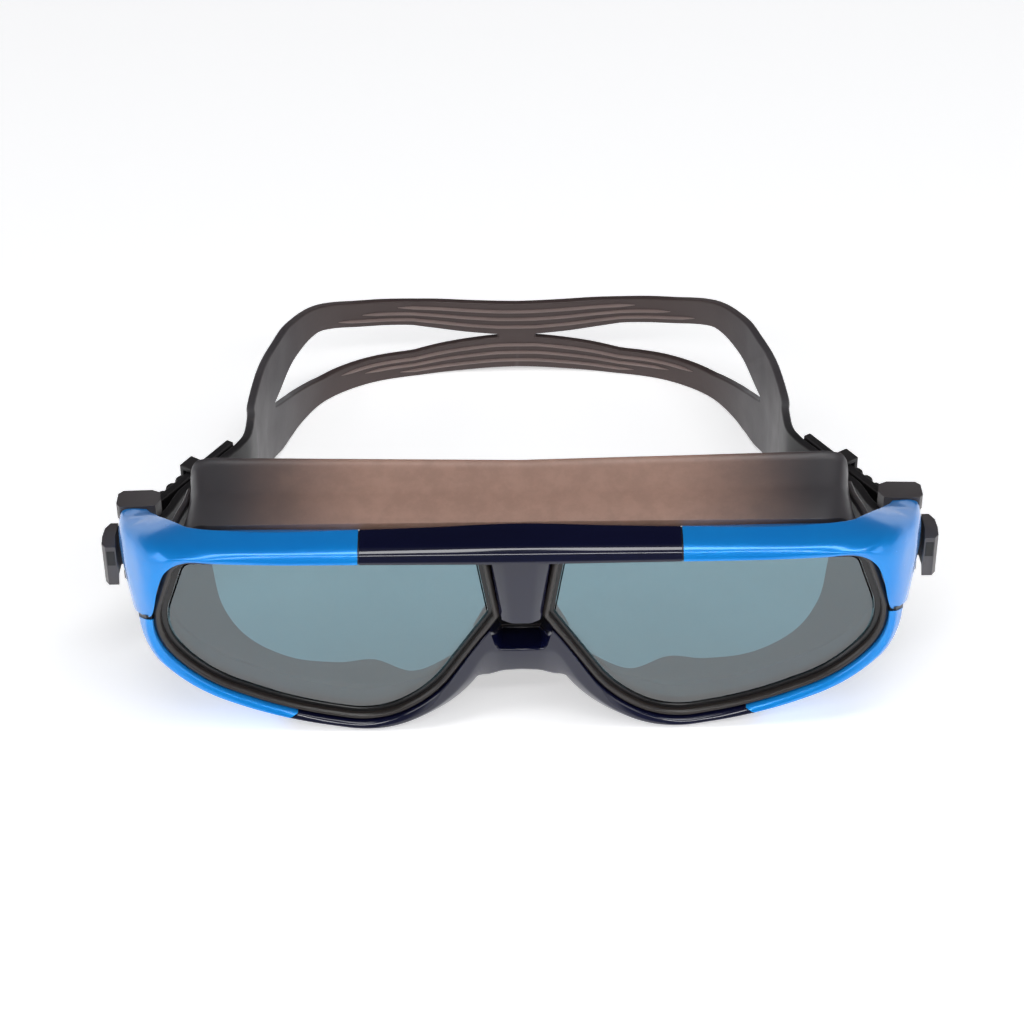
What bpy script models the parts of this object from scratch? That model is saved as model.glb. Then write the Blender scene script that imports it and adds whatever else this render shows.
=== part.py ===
"""Swim goggles: two flat lenses in a clamped frame, a soft face skirt, and a split strap on two release buckles.

Lengths are in metres. X runs across the face, +Y from the lenses to the back of the head, +Z up. The goggles
stand on their lower rims, centred on the origin. Most shapes are written as (x, z, q) in millimetres on the
wearer-right (+X) half, where q is the distance behind the front of the frame; the other half mirrors it.
"""
import math

import bmesh
import bpy
from mathutils import Vector

MM = 0.001

# Overall sizes, in millimetres.
FRAME_WIDTH = 161.8
FRAME_HEIGHT = 46.6
DEPTH = 127.7
FIT = 0.3

# Lens stack, as distances behind the front of the frame.
LIP_Q = 1.0
LENS_THICKNESS = 2.0
GASKET_FRONT_Q = 1.9
GASKET_LIP = 1.0
GASKET_WALL = 1.0
GASKET_REACH = 2.7
LENS_FRONT_Q = GASKET_FRONT_Q + GASKET_LIP + FIT
LENS_BACK_Q = LENS_FRONT_Q + LENS_THICKNESS
CARRIER_FRONT_Q = LENS_BACK_Q + 2 * FIT
SHELL_BACK_Q = 9.2
FLANGE_Q = SHELL_BACK_Q + FIT
FLANGE_THICKNESS = 1.6
CARRIER_WALL = 2.6

# Frame details.
BROW_SEAM_X = 31.2
RIM_SEAM_X = 45.0
SEAM_GAP = 0.3
SKIRT_WALL = 1.6
KEYSTONE_FOOT_Z = 27.4

# Strap.
STRAP_THICKNESS = 1.8
STRAP_TOP_Z = 34.7
STRAP_BOTTOM_Z = 21.3
BAND_HEIGHT = 6.6
BACK_TOP_Z = 19.0
WINDOW_START_X = 4.5
WINDOW_FULL_X = 24.5
WINDOW_FULL_Q = 115.0
WINDOW_END_Q = 91.3
WINDOW_END_GAP = 0.8
TAIL_LENGTH = 27.5
TAIL_ANGLE = math.radians(34.0)
LAYER_GAP = 0.5

# Buckle, placed from the end of the wing.
HOUSING_TOP = 3.5
HOUSING_BOTTOM = 1.7
POST_RADIUS = 0.9
PIN_RADIUS = 0.65
SPRING_WIRE = 0.45
SPRING_TURNS = 4
LEVER_PLAY = 1.3
PAD_DROP = 3.0
KEEPER_LENGTH = 4.0
KEEPER_WALL = 1.1
KEEPER_PLACE = 15.5

WIDE = FRAME_WIDTH / 161.8
TALL = FRAME_HEIGHT / 46.6
WING_END_X = 80.9 * WIDE
WING_END_Q = 25.5

NAVY = (0.004, 0.005, 0.030)
BLUE = (0.010, 0.190, 0.760)
BLACK = (0.020, 0.020, 0.022)
RUBBER = (0.045, 0.038, 0.036)
SKIRT = (0.075, 0.052, 0.045)
TINT = (0.180, 0.330, 0.350)
STEEL = (0.560, 0.570, 0.580)


# ---------------------------------------------------------------- basics

def clear_scene():
    """Remove whatever the file already holds."""
    for thing in list(bpy.data.objects):
        bpy.data.objects.remove(thing, do_unlink=True)


def material(name, colour, roughness, metallic=0.0):
    """A plain Principled surface."""
    made = bpy.data.materials.new(name)
    made.use_nodes = True
    shader = made.node_tree.nodes["Principled BSDF"]
    shader.inputs["Base Color"].default_value = (*colour, 1.0)
    shader.inputs["Roughness"].default_value = roughness
    shader.inputs["Metallic"].default_value = metallic
    return made


def place(x, z, q):
    """World position of a point given across, up and behind the front."""
    return Vector((x, q - DEPTH / 2, z)) * MM


def add_object(name, mesh_maker, look, origin=(0.0, 0.0, 0.0)):
    """Link a bmesh as one named object whose origin is the given world point."""
    mesh = bpy.data.meshes.new(name)
    bmesh.ops.recalc_face_normals(mesh_maker, faces=mesh_maker.faces)
    bmesh.ops.translate(mesh_maker, verts=mesh_maker.verts, vec=-Vector(origin))
    mesh_maker.to_mesh(mesh)
    mesh_maker.free()
    made = bpy.data.objects.new(name, mesh)
    made.location = origin
    bpy.context.scene.collection.objects.link(made)
    mesh.materials.append(look)
    mesh.shade_smooth()
    mesh.set_sharp_from_angle(angle=math.radians(35))
    return made


def cut(target, cutter_mesh, operation="DIFFERENCE"):
    """Give the target a Boolean with a hidden cutter made from a bmesh."""
    helper = add_object(target.name + "_" + operation.lower(), cutter_mesh, target.data.materials[0])
    helper.hide_render = True
    helper.display_type = "WIRE"
    step = target.modifiers.new(operation.title(), "BOOLEAN")
    step.operation = operation
    step.object = helper


def mirrored(points, side):
    """The same (x, z, q) points on the +X (1) or -X (-1) side."""
    return [(side * x, z, q) for x, z, q in points]


def loft(rings, closed=False):
    """A solid through rings of (x, z, q) points: capped at both ends, or joined into a loop."""
    made = bmesh.new()
    grid = [[made.verts.new(place(*point)) for point in ring] for ring in rings]
    count = len(grid[0])
    pairs = list(zip(grid, grid[1:])) + ([(grid[-1], grid[0])] if closed else [])
    for near, far in pairs:
        for k in range(count):
            made.faces.new((near[k], near[(k + 1) % count], far[(k + 1) % count], far[k]))
    if not closed:
        made.faces.new(grid[0])
        made.faces.new(grid[-1])
    return made


def prism(outline, low, high):
    """A plan outline of (x, q) points raised from one height to another."""
    made = bmesh.new()
    face = made.faces.new([made.verts.new(place(x, low, q)) for x, q in outline])
    raised = bmesh.ops.extrude_face_region(made, geom=[face])["geom"]
    verts = [item for item in raised if isinstance(item, bmesh.types.BMVert)]
    bmesh.ops.translate(made, verts=verts, vec=Vector((0, 0, (high - low) * MM)))
    return made


def disc_outline(x, q, radius, steps=20):
    """A circle in plan as (x, q) points."""
    turns = [2 * math.pi * k / steps for k in range(steps)]
    return [(x + radius * math.cos(t), q + radius * math.sin(t)) for t in turns]


def through(values, steps):
    """Catmull-Rom samples through control tuples, with so many steps a span."""
    out = []
    last = len(values) - 1
    for i in range(last):
        a, b, c, d = (values[max(0, min(last, i + j))] for j in (-1, 0, 1, 2))
        for k in range(steps):
            t = k / steps
            out.append(tuple(
                0.5 * (2 * q + (r - p) * t + (2 * p - 5 * q + 4 * r - s) * t * t
                       + (3 * q - p - 3 * r + s) * t ** 3)
                for p, q, r, s in zip(a, b, c, d)))
    out.append(tuple(values[-1]))
    return out


# ---------------------------------------------------------------- eye outline

# Corners of one eye opening as (x, z, fillet radius), clockwise from the top beside the bridge.
EYE = [(6.6, 43.2, 0.8), (68.0, 43.8, 4.6), (74.1, 26.0, 15.3), (64.7, 13.0, 30.8),
       (46.7, 4.6, 76.9), (28.8, 0.9, 18.7), (17.3, 7.7, 26.8), (4.3, 28.5, 1.8)]
# How far the outer face of the frame stands outside each edge of the opening.
RIM_REACH = [3.1, 3.0, 2.9, 2.7, 2.0, 3.1, 4.5, 1.0]
ARC_STEPS = 5


def offset_corners(reach):
    """The eye's corners with each edge moved outwards by its own reach."""
    count = len(EYE)
    points = [(x * WIDE, z * TALL) for x, z, _ in EYE]
    lines = []
    for i in range(count):
        (x0, z0), (x1, z1) = points[i], points[(i + 1) % count]
        size = math.hypot(x1 - x0, z1 - z0)
        nx, nz = -(z1 - z0) / size, (x1 - x0) / size
        lines.append((nx, nz, nx * x0 + nz * z0 + reach[i]))
    corners = []
    for i in range(count):
        (a, b, e), (c, d, f) = lines[i - 1], lines[i]
        det = a * d - b * c
        corners.append(((e * d - b * f) / det, (a * f - e * c) / det))
    return corners


def eye_outline(reach):
    """Points round one eye opening, moved outwards by one reach or by one reach an edge."""
    reach = [reach] * len(EYE) if isinstance(reach, (int, float)) else reach
    corners = offset_corners(reach)
    out = []
    for i, (x, z) in enumerate(corners):
        here = Vector((x, z))
        before = (Vector(corners[i - 1]) - here)
        after = (Vector(corners[(i + 1) % len(corners)]) - here)
        half = before.angle(after) / 2
        radius = max(0.25, EYE[i][2] + (reach[i - 1] + reach[i]) / 2)
        run = min(radius / math.tan(half), 0.49 * before.length, 0.49 * after.length)
        radius = run * math.tan(half)
        middle = here + (before.normalized() + after.normalized()).normalized() * radius / math.sin(half)
        start = here + before.normalized() * run - middle
        end = here + after.normalized() * run - middle
        sweep = start.angle_signed(end)
        for k in range(ARC_STEPS + 1):
            turn = -sweep * k / ARC_STEPS
            out.append((middle.x + start.x * math.cos(turn) - start.y * math.sin(turn),
                        middle.y + start.x * math.sin(turn) + start.y * math.cos(turn)))
    return out


def eye_ring(section, side):
    """A closed ring round one eye whose section is (reach, q) points."""
    loops = [eye_outline(reach) for reach, _ in section]
    rings = [[(side * loop[i][0], loop[i][1], q) for loop, (_, q) in zip(loops, section)]
             for i in range(len(loops[0]))]
    return loft(rings, closed=True)


# ---------------------------------------------------------------- lenses and carrier

def make_lens(name, side, look):
    """The flat lens, held behind the gasket's lip."""
    outline = eye_outline(-GASKET_WALL - 2 * FIT)
    rings = [[(side * x, z, q) for x, z in outline] for q in (LENS_FRONT_Q, LENS_BACK_Q)]
    return add_object(name, loft(rings), look)


def make_gasket(name, side, look):
    """The soft lip round the lens, an L in section."""
    wall = -FIT - GASKET_WALL
    section = [(-FIT, GASKET_FRONT_Q), (-GASKET_REACH, GASKET_FRONT_Q + 0.2),
               (-GASKET_REACH, GASKET_FRONT_Q + GASKET_LIP), (wall, GASKET_FRONT_Q + GASKET_LIP),
               (wall, LENS_BACK_Q + FIT), (-FIT, LENS_BACK_Q + FIT)]
    return add_object(name, eye_ring(section, side), look)


def make_inner_frame(look):
    """The carrier behind both lenses: two rings joined by a plate over the nose."""
    inner = -FIT - CARRIER_WALL
    back = FLANGE_Q + FLANGE_THICKNESS
    section = [(-FIT, CARRIER_FRONT_Q), (-FIT, back), (inner, back), (inner, CARRIER_FRONT_Q)]
    made = add_object("inner_frame", eye_ring(section, 1), look)
    cut(made, eye_ring(section, -1), "UNION")
    half = [(7.4, 43.4), (5.4, 29.0), (11.6, 18.6)]
    bridge = [(x * WIDE, z * TALL) for x, z in half] + [(-x * WIDE, z * TALL) for x, z in reversed(half)]
    rings = [[(x, z, q) for x, z in bridge] for q in (FLANGE_Q + 0.05, back - 0.05)]
    cut(made, loft(rings), "UNION")
    return made


# ---------------------------------------------------------------- upper frame

def brow_edge(x):
    """Height of the lens opening's top edge at x."""
    (x0, z0, _), (x1, z1, _) = EYE[0], EYE[1]
    return (z0 + (z1 - z0) * (x / WIDE - x0) / (x1 - x0)) * TALL


def brow_section(x, rear_q):
    """The brow's section at x: lip, highlight ridge, crease, top face and inner wall, as (x, z, q)."""
    foot = brow_edge(x)
    top = FRAME_HEIGHT - foot
    rises = [(0.0, LIP_Q), (0.30, 0.15), (0.62, 0.25), (0.84, 1.2), (0.92, 2.9), (1.0, rear_q),
             (0.55, SHELL_BACK_Q), (0.0, SHELL_BACK_Q)]
    return [(x, foot + top * rise, q) for rise, q in rises]


def make_brow(look):
    """The navy centre of the upper frame, with the bridge plate between the lenses."""
    reaches = [(0.0, 8.9), (8.0, 8.6), (16.0, 8.0), (BROW_SEAM_X, 7.3)]
    stations = [(-x, q) for x, q in reversed(reaches[1:])] + reaches
    rings = []
    for x, rear_q in stations:
        ring = brow_section(abs(x) * WIDE, rear_q)
        rings.append([(math.copysign(px, x), z, q) for px, z, q in ring])
    made = add_object("brow_center", loft(rings), look)
    cut(made, keystone(), "UNION")
    return made


def keystone():
    """The bridge plate: a tapered block with a flatter centre facet."""
    rings = []
    for z, half, facet in ((44.6, 6.35, 3.0), (KEYSTONE_FOOT_Z, 4.1, 2.0)):
        half, facet = half * WIDE, facet * WIDE
        outline = [(-half, 2.4), (-facet, LIP_Q + 0.1), (facet, LIP_Q + 0.1), (half, 2.4),
                   (half, SHELL_BACK_Q - 0.1), (-half, SHELL_BACK_Q - 0.1)]
        rings.append([(x, z * TALL, q) for x, q in outline])
    return loft(rings)


# Control sections of the wing from the brow seam to its end, each as (x, z, q) points: opening edge, three
# points over the outer face, top shoulder, top rear edge, then the inner wall from top to bottom.
WING = [
    [(47.0, 43.6, 1.0), (47.0, 44.5, 0.15), (47.0, 45.5, 0.3), (47.0, 46.1, 1.3), (47.0, 46.3, 2.9),
     (47.0, 46.6, 6.8), (47.0, 45.3, 9.2), (47.0, 43.6, 9.2)],
    [(58.0, 43.7, 1.0), (58.3, 44.7, 0.25), (58.6, 45.6, 0.6), (59.0, 46.1, 1.8), (59.0, 46.3, 3.6),
     (58.0, 46.5, 7.6), (58.0, 45.4, 9.2), (58.0, 43.7, 9.2)],
    [(64.6, 43.7, 1.0), (66.1, 44.6, 0.6), (67.2, 45.1, 1.5), (68.5, 45.5, 3.4), (67.4, 45.8, 5.6),
     (64.4, 45.8, 9.7), (65.2, 44.9, 9.7), (65.6, 44.0, 9.2)],
    [(68.6, 41.7, 1.0), (69.9, 42.3, 1.1), (71.3, 43.3, 2.6), (72.0, 44.6, 5.2), (70.8, 45.1, 8.2),
     (67.4, 44.8, 12.6), (69.0, 43.7, 12.0), (70.4, 42.6, 9.3)],
    [(70.6, 37.4, 1.0), (72.8, 38.8, 2.2), (74.3, 41.0, 4.9), (74.8, 43.2, 8.2), (73.2, 43.8, 11.4),
     (69.6, 43.4, 15.6), (71.6, 41.6, 14.6), (73.0, 38.6, 9.3)],
    [(72.4, 30.5, 1.0), (75.0, 34.4, 4.4), (76.6, 38.0, 8.3), (77.2, 41.4, 12.0), (75.3, 42.2, 15.0),
     (71.3, 41.9, 18.3), (73.6, 38.6, 17.4), (74.6, 31.6, 9.6)],
    [(75.3, 28.4, 4.5), (77.0, 32.2, 8.0), (78.1, 36.3, 11.2), (78.3, 40.5, 14.6), (76.4, 41.2, 17.0),
     (72.1, 41.1, 19.8), (74.2, 37.6, 18.8), (75.2, 29.2, 10.6)],
    [(77.2, 25.4, 10.0), (78.3, 30.0, 12.4), (79.1, 35.0, 15.0), (79.2, 39.5, 17.4), (77.2, 40.3, 19.4),
     (72.8, 40.3, 21.2), (74.8, 36.0, 20.6), (75.6, 26.2, 13.0)],
    [(78.6, 23.2, 18.0), (79.6, 28.0, 19.0), (80.3, 33.0, 20.4), (80.1, 37.9, 21.8), (78.2, 39.0, 22.6),
     (73.9, 39.1, 23.4), (75.2, 34.5, 23.2), (76.0, 24.0, 19.5)],
    [(79.5, 21.6, 25.5), (80.4, 26.5, 25.5), (80.9, 31.5, 25.5), (80.4, 36.8, 25.5), (78.7, 38.2, 25.5),
     (74.7, 38.1, 25.5), (75.4, 33.0, 25.5), (76.2, 22.0, 25.5)],
]
WING_STEPS = 3


def make_wing(name, side, look):
    """The blue end of the upper frame, from the brow seam round the lens to the temple."""
    seam = (BROW_SEAM_X + SEAM_GAP) * WIDE
    controls = [brow_section(seam, 7.3)]
    controls += [[(x * WIDE, z * TALL, q) for x, z, q in ring] for ring in WING]
    columns = [through([ring[k] for ring in controls], WING_STEPS) for k in range(len(controls[0]))]
    rings = [mirrored([column[i] for column in columns], side) for i in range(len(columns[0]))]
    made = add_object(name, loft(rings), look)
    cut(made, tenon(side, FIT, extra=2.0))
    cut(made, pin_along_x(side, PIN_RADIUS + FIT, WING_END_X - 8.0, WING_END_X - 0.9))
    return made


# ---------------------------------------------------------------- lower frame

# The lower frame meets the wing at a parting that falls backwards, and follows the eye outline below it.
PARTING_Z = 29.6
PARTING_FALL = 0.6
PARTING_FADE_Z = 19.6
FLARE = 1.6


def eye_index(corner, step):
    """Index of one point of the eye outline."""
    return corner * (ARC_STEPS + 1) + step


def side_x(outline, z):
    """Where the outer side of an eye outline is at height z."""
    for (x0, z0), (x1, z1) in zip(outline[eye_index(2, 0):], outline[eye_index(2, 1):]):
        if z0 >= z >= z1:
            return x0 + (x1 - x0) * (z0 - z) / (z0 - z1)
    return outline[eye_index(2, 0)][0]


def rim_sections():
    """Sections of the lower frame's right half from the parting to beside the nose.

    Each is (x, z, q) points: opening edge, front ridge, outer front, outer rear, inner wall's rear and its foot.
    """
    opening, outer = eye_outline(0.0), eye_outline(RIM_REACH)
    parting = PARTING_Z * TALL
    pairs = [((side_x(opening, parting), parting), (side_x(outer, parting), parting))]
    stop = eye_index(6, ARC_STEPS) + 1
    pairs += [(a, b) for a, b in zip(opening[eye_index(2, 1):stop], outer[eye_index(2, 1):stop])
              if a[1] < parting - 1.0]
    out = []
    for i, ((x0, z0), (x1, z1)) in enumerate(pairs):
        size = math.hypot(x1 - x0, z1 - z0)
        ux, uz = (x1 - x0) / size, (z1 - z0) / size
        fade = min(1.0, max(0.0, (z0 / TALL - PARTING_FADE_Z) / (PARTING_Z - PARTING_FADE_Z)))
        flare = FLARE * max(0.0, 1 - i / 14)
        ring = [(x0, z0, LIP_Q), (x0 + 0.42 * size * ux, z0 + 0.42 * size * uz, 1.4 * fade),
                (x1, z1, 1.9 + 2.6 * fade), (x1 + flare * ux, z1 + flare * uz, SHELL_BACK_Q + 0.6 * fade),
                (x0 + 0.55 * ux, z0 + 0.55 * uz, SHELL_BACK_Q), (x0, z0, SHELL_BACK_Q)]
        falls = [fade * PARTING_FALL * max(0.0, q - LIP_Q) for _, _, q in ring]
        out.append([(x + side_x(opening, z0 - fall) - side_x(opening, z0) if fade else x, max(0.0, z - fall), q)
                    for (x, z, q), fall in zip(ring, falls)])
    return out


def split_at(sections, x):
    """Cut a run of sections where its opening edge crosses x, with a seam gap; gives both runs."""
    for i in range(1, len(sections)):
        (xa, _, _), (xb, _, _) = sections[i - 1][0], sections[i][0]
        if (xa - x) * (xb - x) <= 0:
            halves = []
            for target in (x + SEAM_GAP / 2, x - SEAM_GAP / 2):
                t = (xa - target) / (xa - xb)
                halves.append([tuple(p + (q - p) * t for p, q in zip(a, b))
                               for a, b in zip(sections[i - 1], sections[i])])
            return sections[:i] + [halves[0]], [halves[1]] + sections[i:]
    return sections, []


def rim_runs():
    """The blue and the navy run of the lower frame's right half, from the wing to beside the nose."""
    return split_at(rim_sections(), RIM_SEAM_X * WIDE)


# The nose arch from beside the nose to the middle, in the same section order, with a level recess on its top.
NOSE = [
    [(8.7, 21.7, 1.2), (7.4, 20.0, 0.7), (6.6, 12.7, 2.6), (6.6, 12.7, 9.2), (8.2, 21.0, 9.2), (8.7, 21.7, 9.2)],
    [(6.2, 24.9, 2.0), (4.9, 20.0, 1.6), (4.2, 13.3, 2.8), (4.2, 13.3, 9.2), (5.8, 24.3, 9.2), (6.2, 24.9, 9.2)],
    [(3.7, 19.8, 8.2), (3.7, 19.7, 2.2), (3.2, 13.4, 2.9), (3.2, 13.4, 9.2), (3.7, 19.4, 9.2), (3.7, 19.8, 9.2)],
    [(0.0, 19.6, 8.2), (0.0, 19.5, 2.5), (0.0, 13.5, 3.0), (0.0, 13.5, 9.2), (0.0, 19.2, 9.2), (0.0, 19.6, 9.2)],
]


def make_rim_end(name, side, look):
    """The blue outer end of the lower frame."""
    blue, _ = rim_runs()
    return add_object(name, loft([mirrored(ring, side) for ring in blue]), look)


def make_lower_frame(look):
    """The navy middle of the lower frame: both rim bottoms joined by the nose arch."""
    _, navy = rim_runs()
    half = navy + [[(x * WIDE, z * TALL, q) for x, z, q in ring] for ring in NOSE]
    rings = half + [mirrored(ring, -1) for ring in reversed(half[:-1])]
    return add_object("lower_frame", loft(rings), look)


# ---------------------------------------------------------------- skirt

# The skirt's outer face from the top of the forehead round to the nose: front edge then rear edge.
SKIRT_LINE = [
    ((0.0, 46.2, 9.7), (0.0, 50.2, 24.4)), ((30.0, 46.2, 9.7), (30.0, 50.4, 25.0)),
    ((52.0, 46.1, 9.7), (54.0, 50.5, 25.6)), ((59.4, 45.8, 10.0), (61.8, 50.4, 25.8)),
    ((63.6, 44.6, 11.4), (64.7, 48.8, 25.8)), ((67.0, 40.8, 11.6), (65.3, 43.4, 25.8)),
    ((70.3, 33.0, 11.6), (65.0, 34.0, 25.4)), ((71.2, 26.0, 11.6), (64.0, 25.0, 24.6)),
    ((69.0, 19.0, 11.6), (62.2, 15.6, 22.6)), ((62.0, 12.0, 11.6), (57.0, 8.8, 20.0)),
    ((50.0, 6.0, 11.6), (48.0, 4.6, 18.0)), ((38.0, 3.0, 11.6), (38.0, 3.4, 17.5)),
    ((29.0, 2.4, 11.6), (30.0, 4.5, 17.0)), ((20.5, 4.2, 11.6), (21.5, 3.6, 14.4)),
    ((12.2, 9.4, 11.6), (12.4, 9.2, 13.8)), ((6.4, 15.0, 11.6), (6.6, 14.8, 13.8)),
    ((0.0, 17.4, 11.6), (0.0, 17.2, 13.8)),
]
SKIRT_STEPS = 3


def make_skirt(look):
    """The soft wall from the carrier to the face, open through both eyes."""
    line = [(*front, *rear) for front, rear in SKIRT_LINE]
    half = [(x * WIDE, z * TALL, q, u * WIDE, w * TALL, r) for x, z, q, u, w, r in through(line, SKIRT_STEPS)]
    whole = half + [(-x, z, q, -u, w, r) for x, z, q, u, w, r in reversed(half[1:-1])]
    rings = []
    for i, (x, z, q, u, w, r) in enumerate(whole):
        before, after = whole[i - 1], whole[(i + 1) % len(whole)]
        nx, nz = (before[1] - after[1]), (after[0] - before[0])
        size = math.hypot(nx, nz)
        nx, nz = nx / size * SKIRT_WALL, nz / size * SKIRT_WALL
        rings.append([(x, z, q), (u, w, r), (u - nx, w - nz, r), (x - nx, z - nz, q)])
    return add_object("skirt", loft(rings, closed=True), look)


# ---------------------------------------------------------------- strap

ALONG = (-math.sin(TAIL_ANGLE), math.cos(TAIL_ANGLE))
ACROSS = (math.cos(TAIL_ANGLE), math.sin(TAIL_ANGLE))
POST_X = WING_END_X - 7.0
POST_Q = WING_END_Q + 3.5
TURN_RADIUS = POST_RADIUS + FIT + STRAP_THICKNESS / 2
LAYER_STEP = STRAP_THICKNESS + LAYER_GAP
WINDOW_CELLS = (2, 26)


def from_post(along, across):
    """A plan point (x, q) given along the tail and across it from the strap post."""
    return (POST_X + along * ALONG[0] + across * ACROSS[0], POST_Q + along * ALONG[1] + across * ACROSS[1])


def strap_path():
    """Right half of the strap's centreline in plan, as (x, q, run-out share) from the back to the tail's end.

    The share is 0 on the wide back part and 1 where the strap has its narrow end's height.
    """
    back = DEPTH - STRAP_THICKNESS / 2
    inner = TURN_RADIUS - LAYER_STEP
    wide = [(0.0, back), (10.0, back - 0.2), (20.8, back - 1.0), (34.4, back - 4.3), (44.9, back - 11.2),
            (50.8, back - 20.8), (53.8, back - 30.4), (55.9, back - 40.5), (57.2, back - 56.0)]
    wide = [(x * WIDE, q) for x, q in wide]
    neck = [from_post(38.5, inner + 5.5), from_post(32.0, inner + 1.3), from_post(27.5, inner)]
    narrow = [from_post(21.0, inner), from_post(10.0, inner), from_post(6.5, inner - 0.5),
              from_post(3.0, 0.4 - TURN_RADIUS), from_post(0.0, -TURN_RADIUS)]
    path = through(wide + neck + narrow, 4)
    shares = []
    first, last = 4 * (len(wide) - 3), 4 * (len(wide) + 2)
    for i in range(len(path)):
        t = min(1.0, max(0.0, (i - first) / (last - first)))
        shares.append(t * t * (3 - 2 * t))
    turn_steps = 8
    for k in range(1, turn_steps):
        angle = math.pi * k / turn_steps
        path.append(from_post(-TURN_RADIUS * math.sin(angle), -TURN_RADIUS * math.cos(angle)))
    path += [from_post(TAIL_LENGTH * k / 6, TURN_RADIUS) for k in range(7)]
    return [(*point, shares[i] if i < len(shares) else 1.0) for i, point in enumerate(path)]


def strap_heights(x, q, share):
    """Heights of the strap's four long edges: bottom, top of lower band, bottom of upper band, top."""
    from_back = min(1.0, max(0.0, (DEPTH - q) / (0.36 * DEPTH)))
    spread = min(1.0, abs(x) / (52.0 * WIDE))
    low = 0.02 + 3.0 * max(0.0, from_back - 0.55) / 0.45
    high = BACK_TOP_Z + 7.0 * spread ** 1.6 + 5.0 * max(0.0, from_back - 0.15)
    low += (STRAP_BOTTOM_Z - low) * share
    high += (STRAP_TOP_Z - high) * share
    band = min(BAND_HEIGHT, 0.47 * (high - low))
    pinch = 0.5 * (high - low - WINDOW_END_GAP)
    back_closing = 1 - (abs(x) / WIDE - WINDOW_START_X) / (WINDOW_FULL_X - WINDOW_START_X)
    front_closing = (WINDOW_FULL_Q - q) / (WINDOW_FULL_Q - WINDOW_END_Q)
    closing = min(1.0, max(0.0, back_closing, front_closing))
    band += (pinch - band) * closing
    return low, low + band, high - band, high


def make_strap(look):
    """One moulded strap: a split back, two necks, and ends that turn round the buckle posts."""
    half = strap_path()
    path = [(-x, q, share) for x, q, share in reversed(half[1:])] + half
    middle = len(half) - 1
    made = bmesh.new()
    columns = []
    for i, (x, q, share) in enumerate(path):
        before, after = path[max(0, i - 1)], path[min(len(path) - 1, i + 1)]
        dx, dq = after[0] - before[0], after[1] - before[1]
        size = math.hypot(dx, dq)
        nx, nq = -dq / size * STRAP_THICKNESS / 2, dx / size * STRAP_THICKNESS / 2
        heights = strap_heights(x, q, share)
        columns.append([[made.verts.new(place(x + s * nx, z, q + s * nq)) for z in heights] for s in (-1, 1)])
    def split(cell):
        """Whether the window opens between two columns."""
        offset = cell - middle if cell >= middle else middle - cell - 1
        return WINDOW_CELLS[0] <= offset < WINDOW_CELLS[1]
    add = made.faces.new
    for i in range(len(columns) - 1):
        (a, b), (c, d) = columns[i], columns[i + 1]
        for row in range(3):
            if row == 1 and split(i):
                continue
            add((a[row], c[row], c[row + 1], a[row + 1]))
            add((b[row], b[row + 1], d[row + 1], d[row]))
        add((a[0], b[0], d[0], c[0]))
        add((a[3], c[3], d[3], b[3]))
        if split(i):
            add((a[1], c[1], d[1], b[1]))
            add((a[2], b[2], d[2], c[2]))
        for near, far in ((i, i - 1), (i + 1, i + 1)):
            if split(i) and not split(far):
                p, r = columns[near]
                add((p[1], p[2], r[2], r[1]))
    for p, r in (columns[0], columns[-1]):
        for row in range(3):
            add((p[row], p[row + 1], r[row + 1], r[row]))
    return add_object("head_strap", made, look)


# ---------------------------------------------------------------- buckles

PLATE_LOW = STRAP_BOTTOM_Z - FIT
PLATE_HIGH = STRAP_TOP_Z + FIT
HUB_X = WING_END_X - 0.9
HUB_Q = WING_END_Q + 3.5
LEVER_LOW = PLATE_LOW + LEVER_PLAY
LEVER_HIGH = PLATE_HIGH - PAD_DROP
HUB_HIGH = LEVER_LOW + 8.0
PIN_SINK = 0.9


def flip(outline, side):
    """A plan outline of (x, q) points on one side."""
    return [(side * x, q) for x, q in outline]


def tenon(side, clearance, extra=0.0):
    """The housing's tongue that enters the end of the wing; the clearance makes its pocket."""
    x0, x1 = WING_END_X - 3.7 - clearance, WING_END_X - 1.5 + clearance
    q0, q1 = WING_END_Q - 3.2 - clearance, WING_END_Q + 1.0 + extra
    low, high = PLATE_LOW + 4.6 - clearance, PLATE_HIGH - 3.0 + clearance
    return prism(flip([(x0, q0), (x1, q0), (x1, q1), (x0, q1)], side), low, high)


def pin_along_x(side, radius, x0, x1):
    """A round bar along X through the wing's end and the tongue."""
    z, q = (PLATE_LOW + PLATE_HIGH) / 2 + 0.8, WING_END_Q - 1.7
    turns = [2 * math.pi * k / 14 for k in range(14)]
    rings = [[(side * x, z + radius * math.sin(t), q + radius * math.cos(t)) for t in turns] for x in (x0, x1)]
    return loft(rings)


def housing_outline():
    """Plan of the housing's two plates."""
    x, q = WING_END_X, WING_END_Q
    return [(x - 8.6, q + 2.6), (x - 7.6, q + 0.7), (x - 5.0, q + FIT), (x - 0.4, q + FIT), (x + 0.3, q + 1.4),
            (x + 0.2, q + 4.6), (x - 0.8, q + 5.6), (x - 6.6, q + 5.8), (x - 8.2, q + 5.0)]


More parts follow.
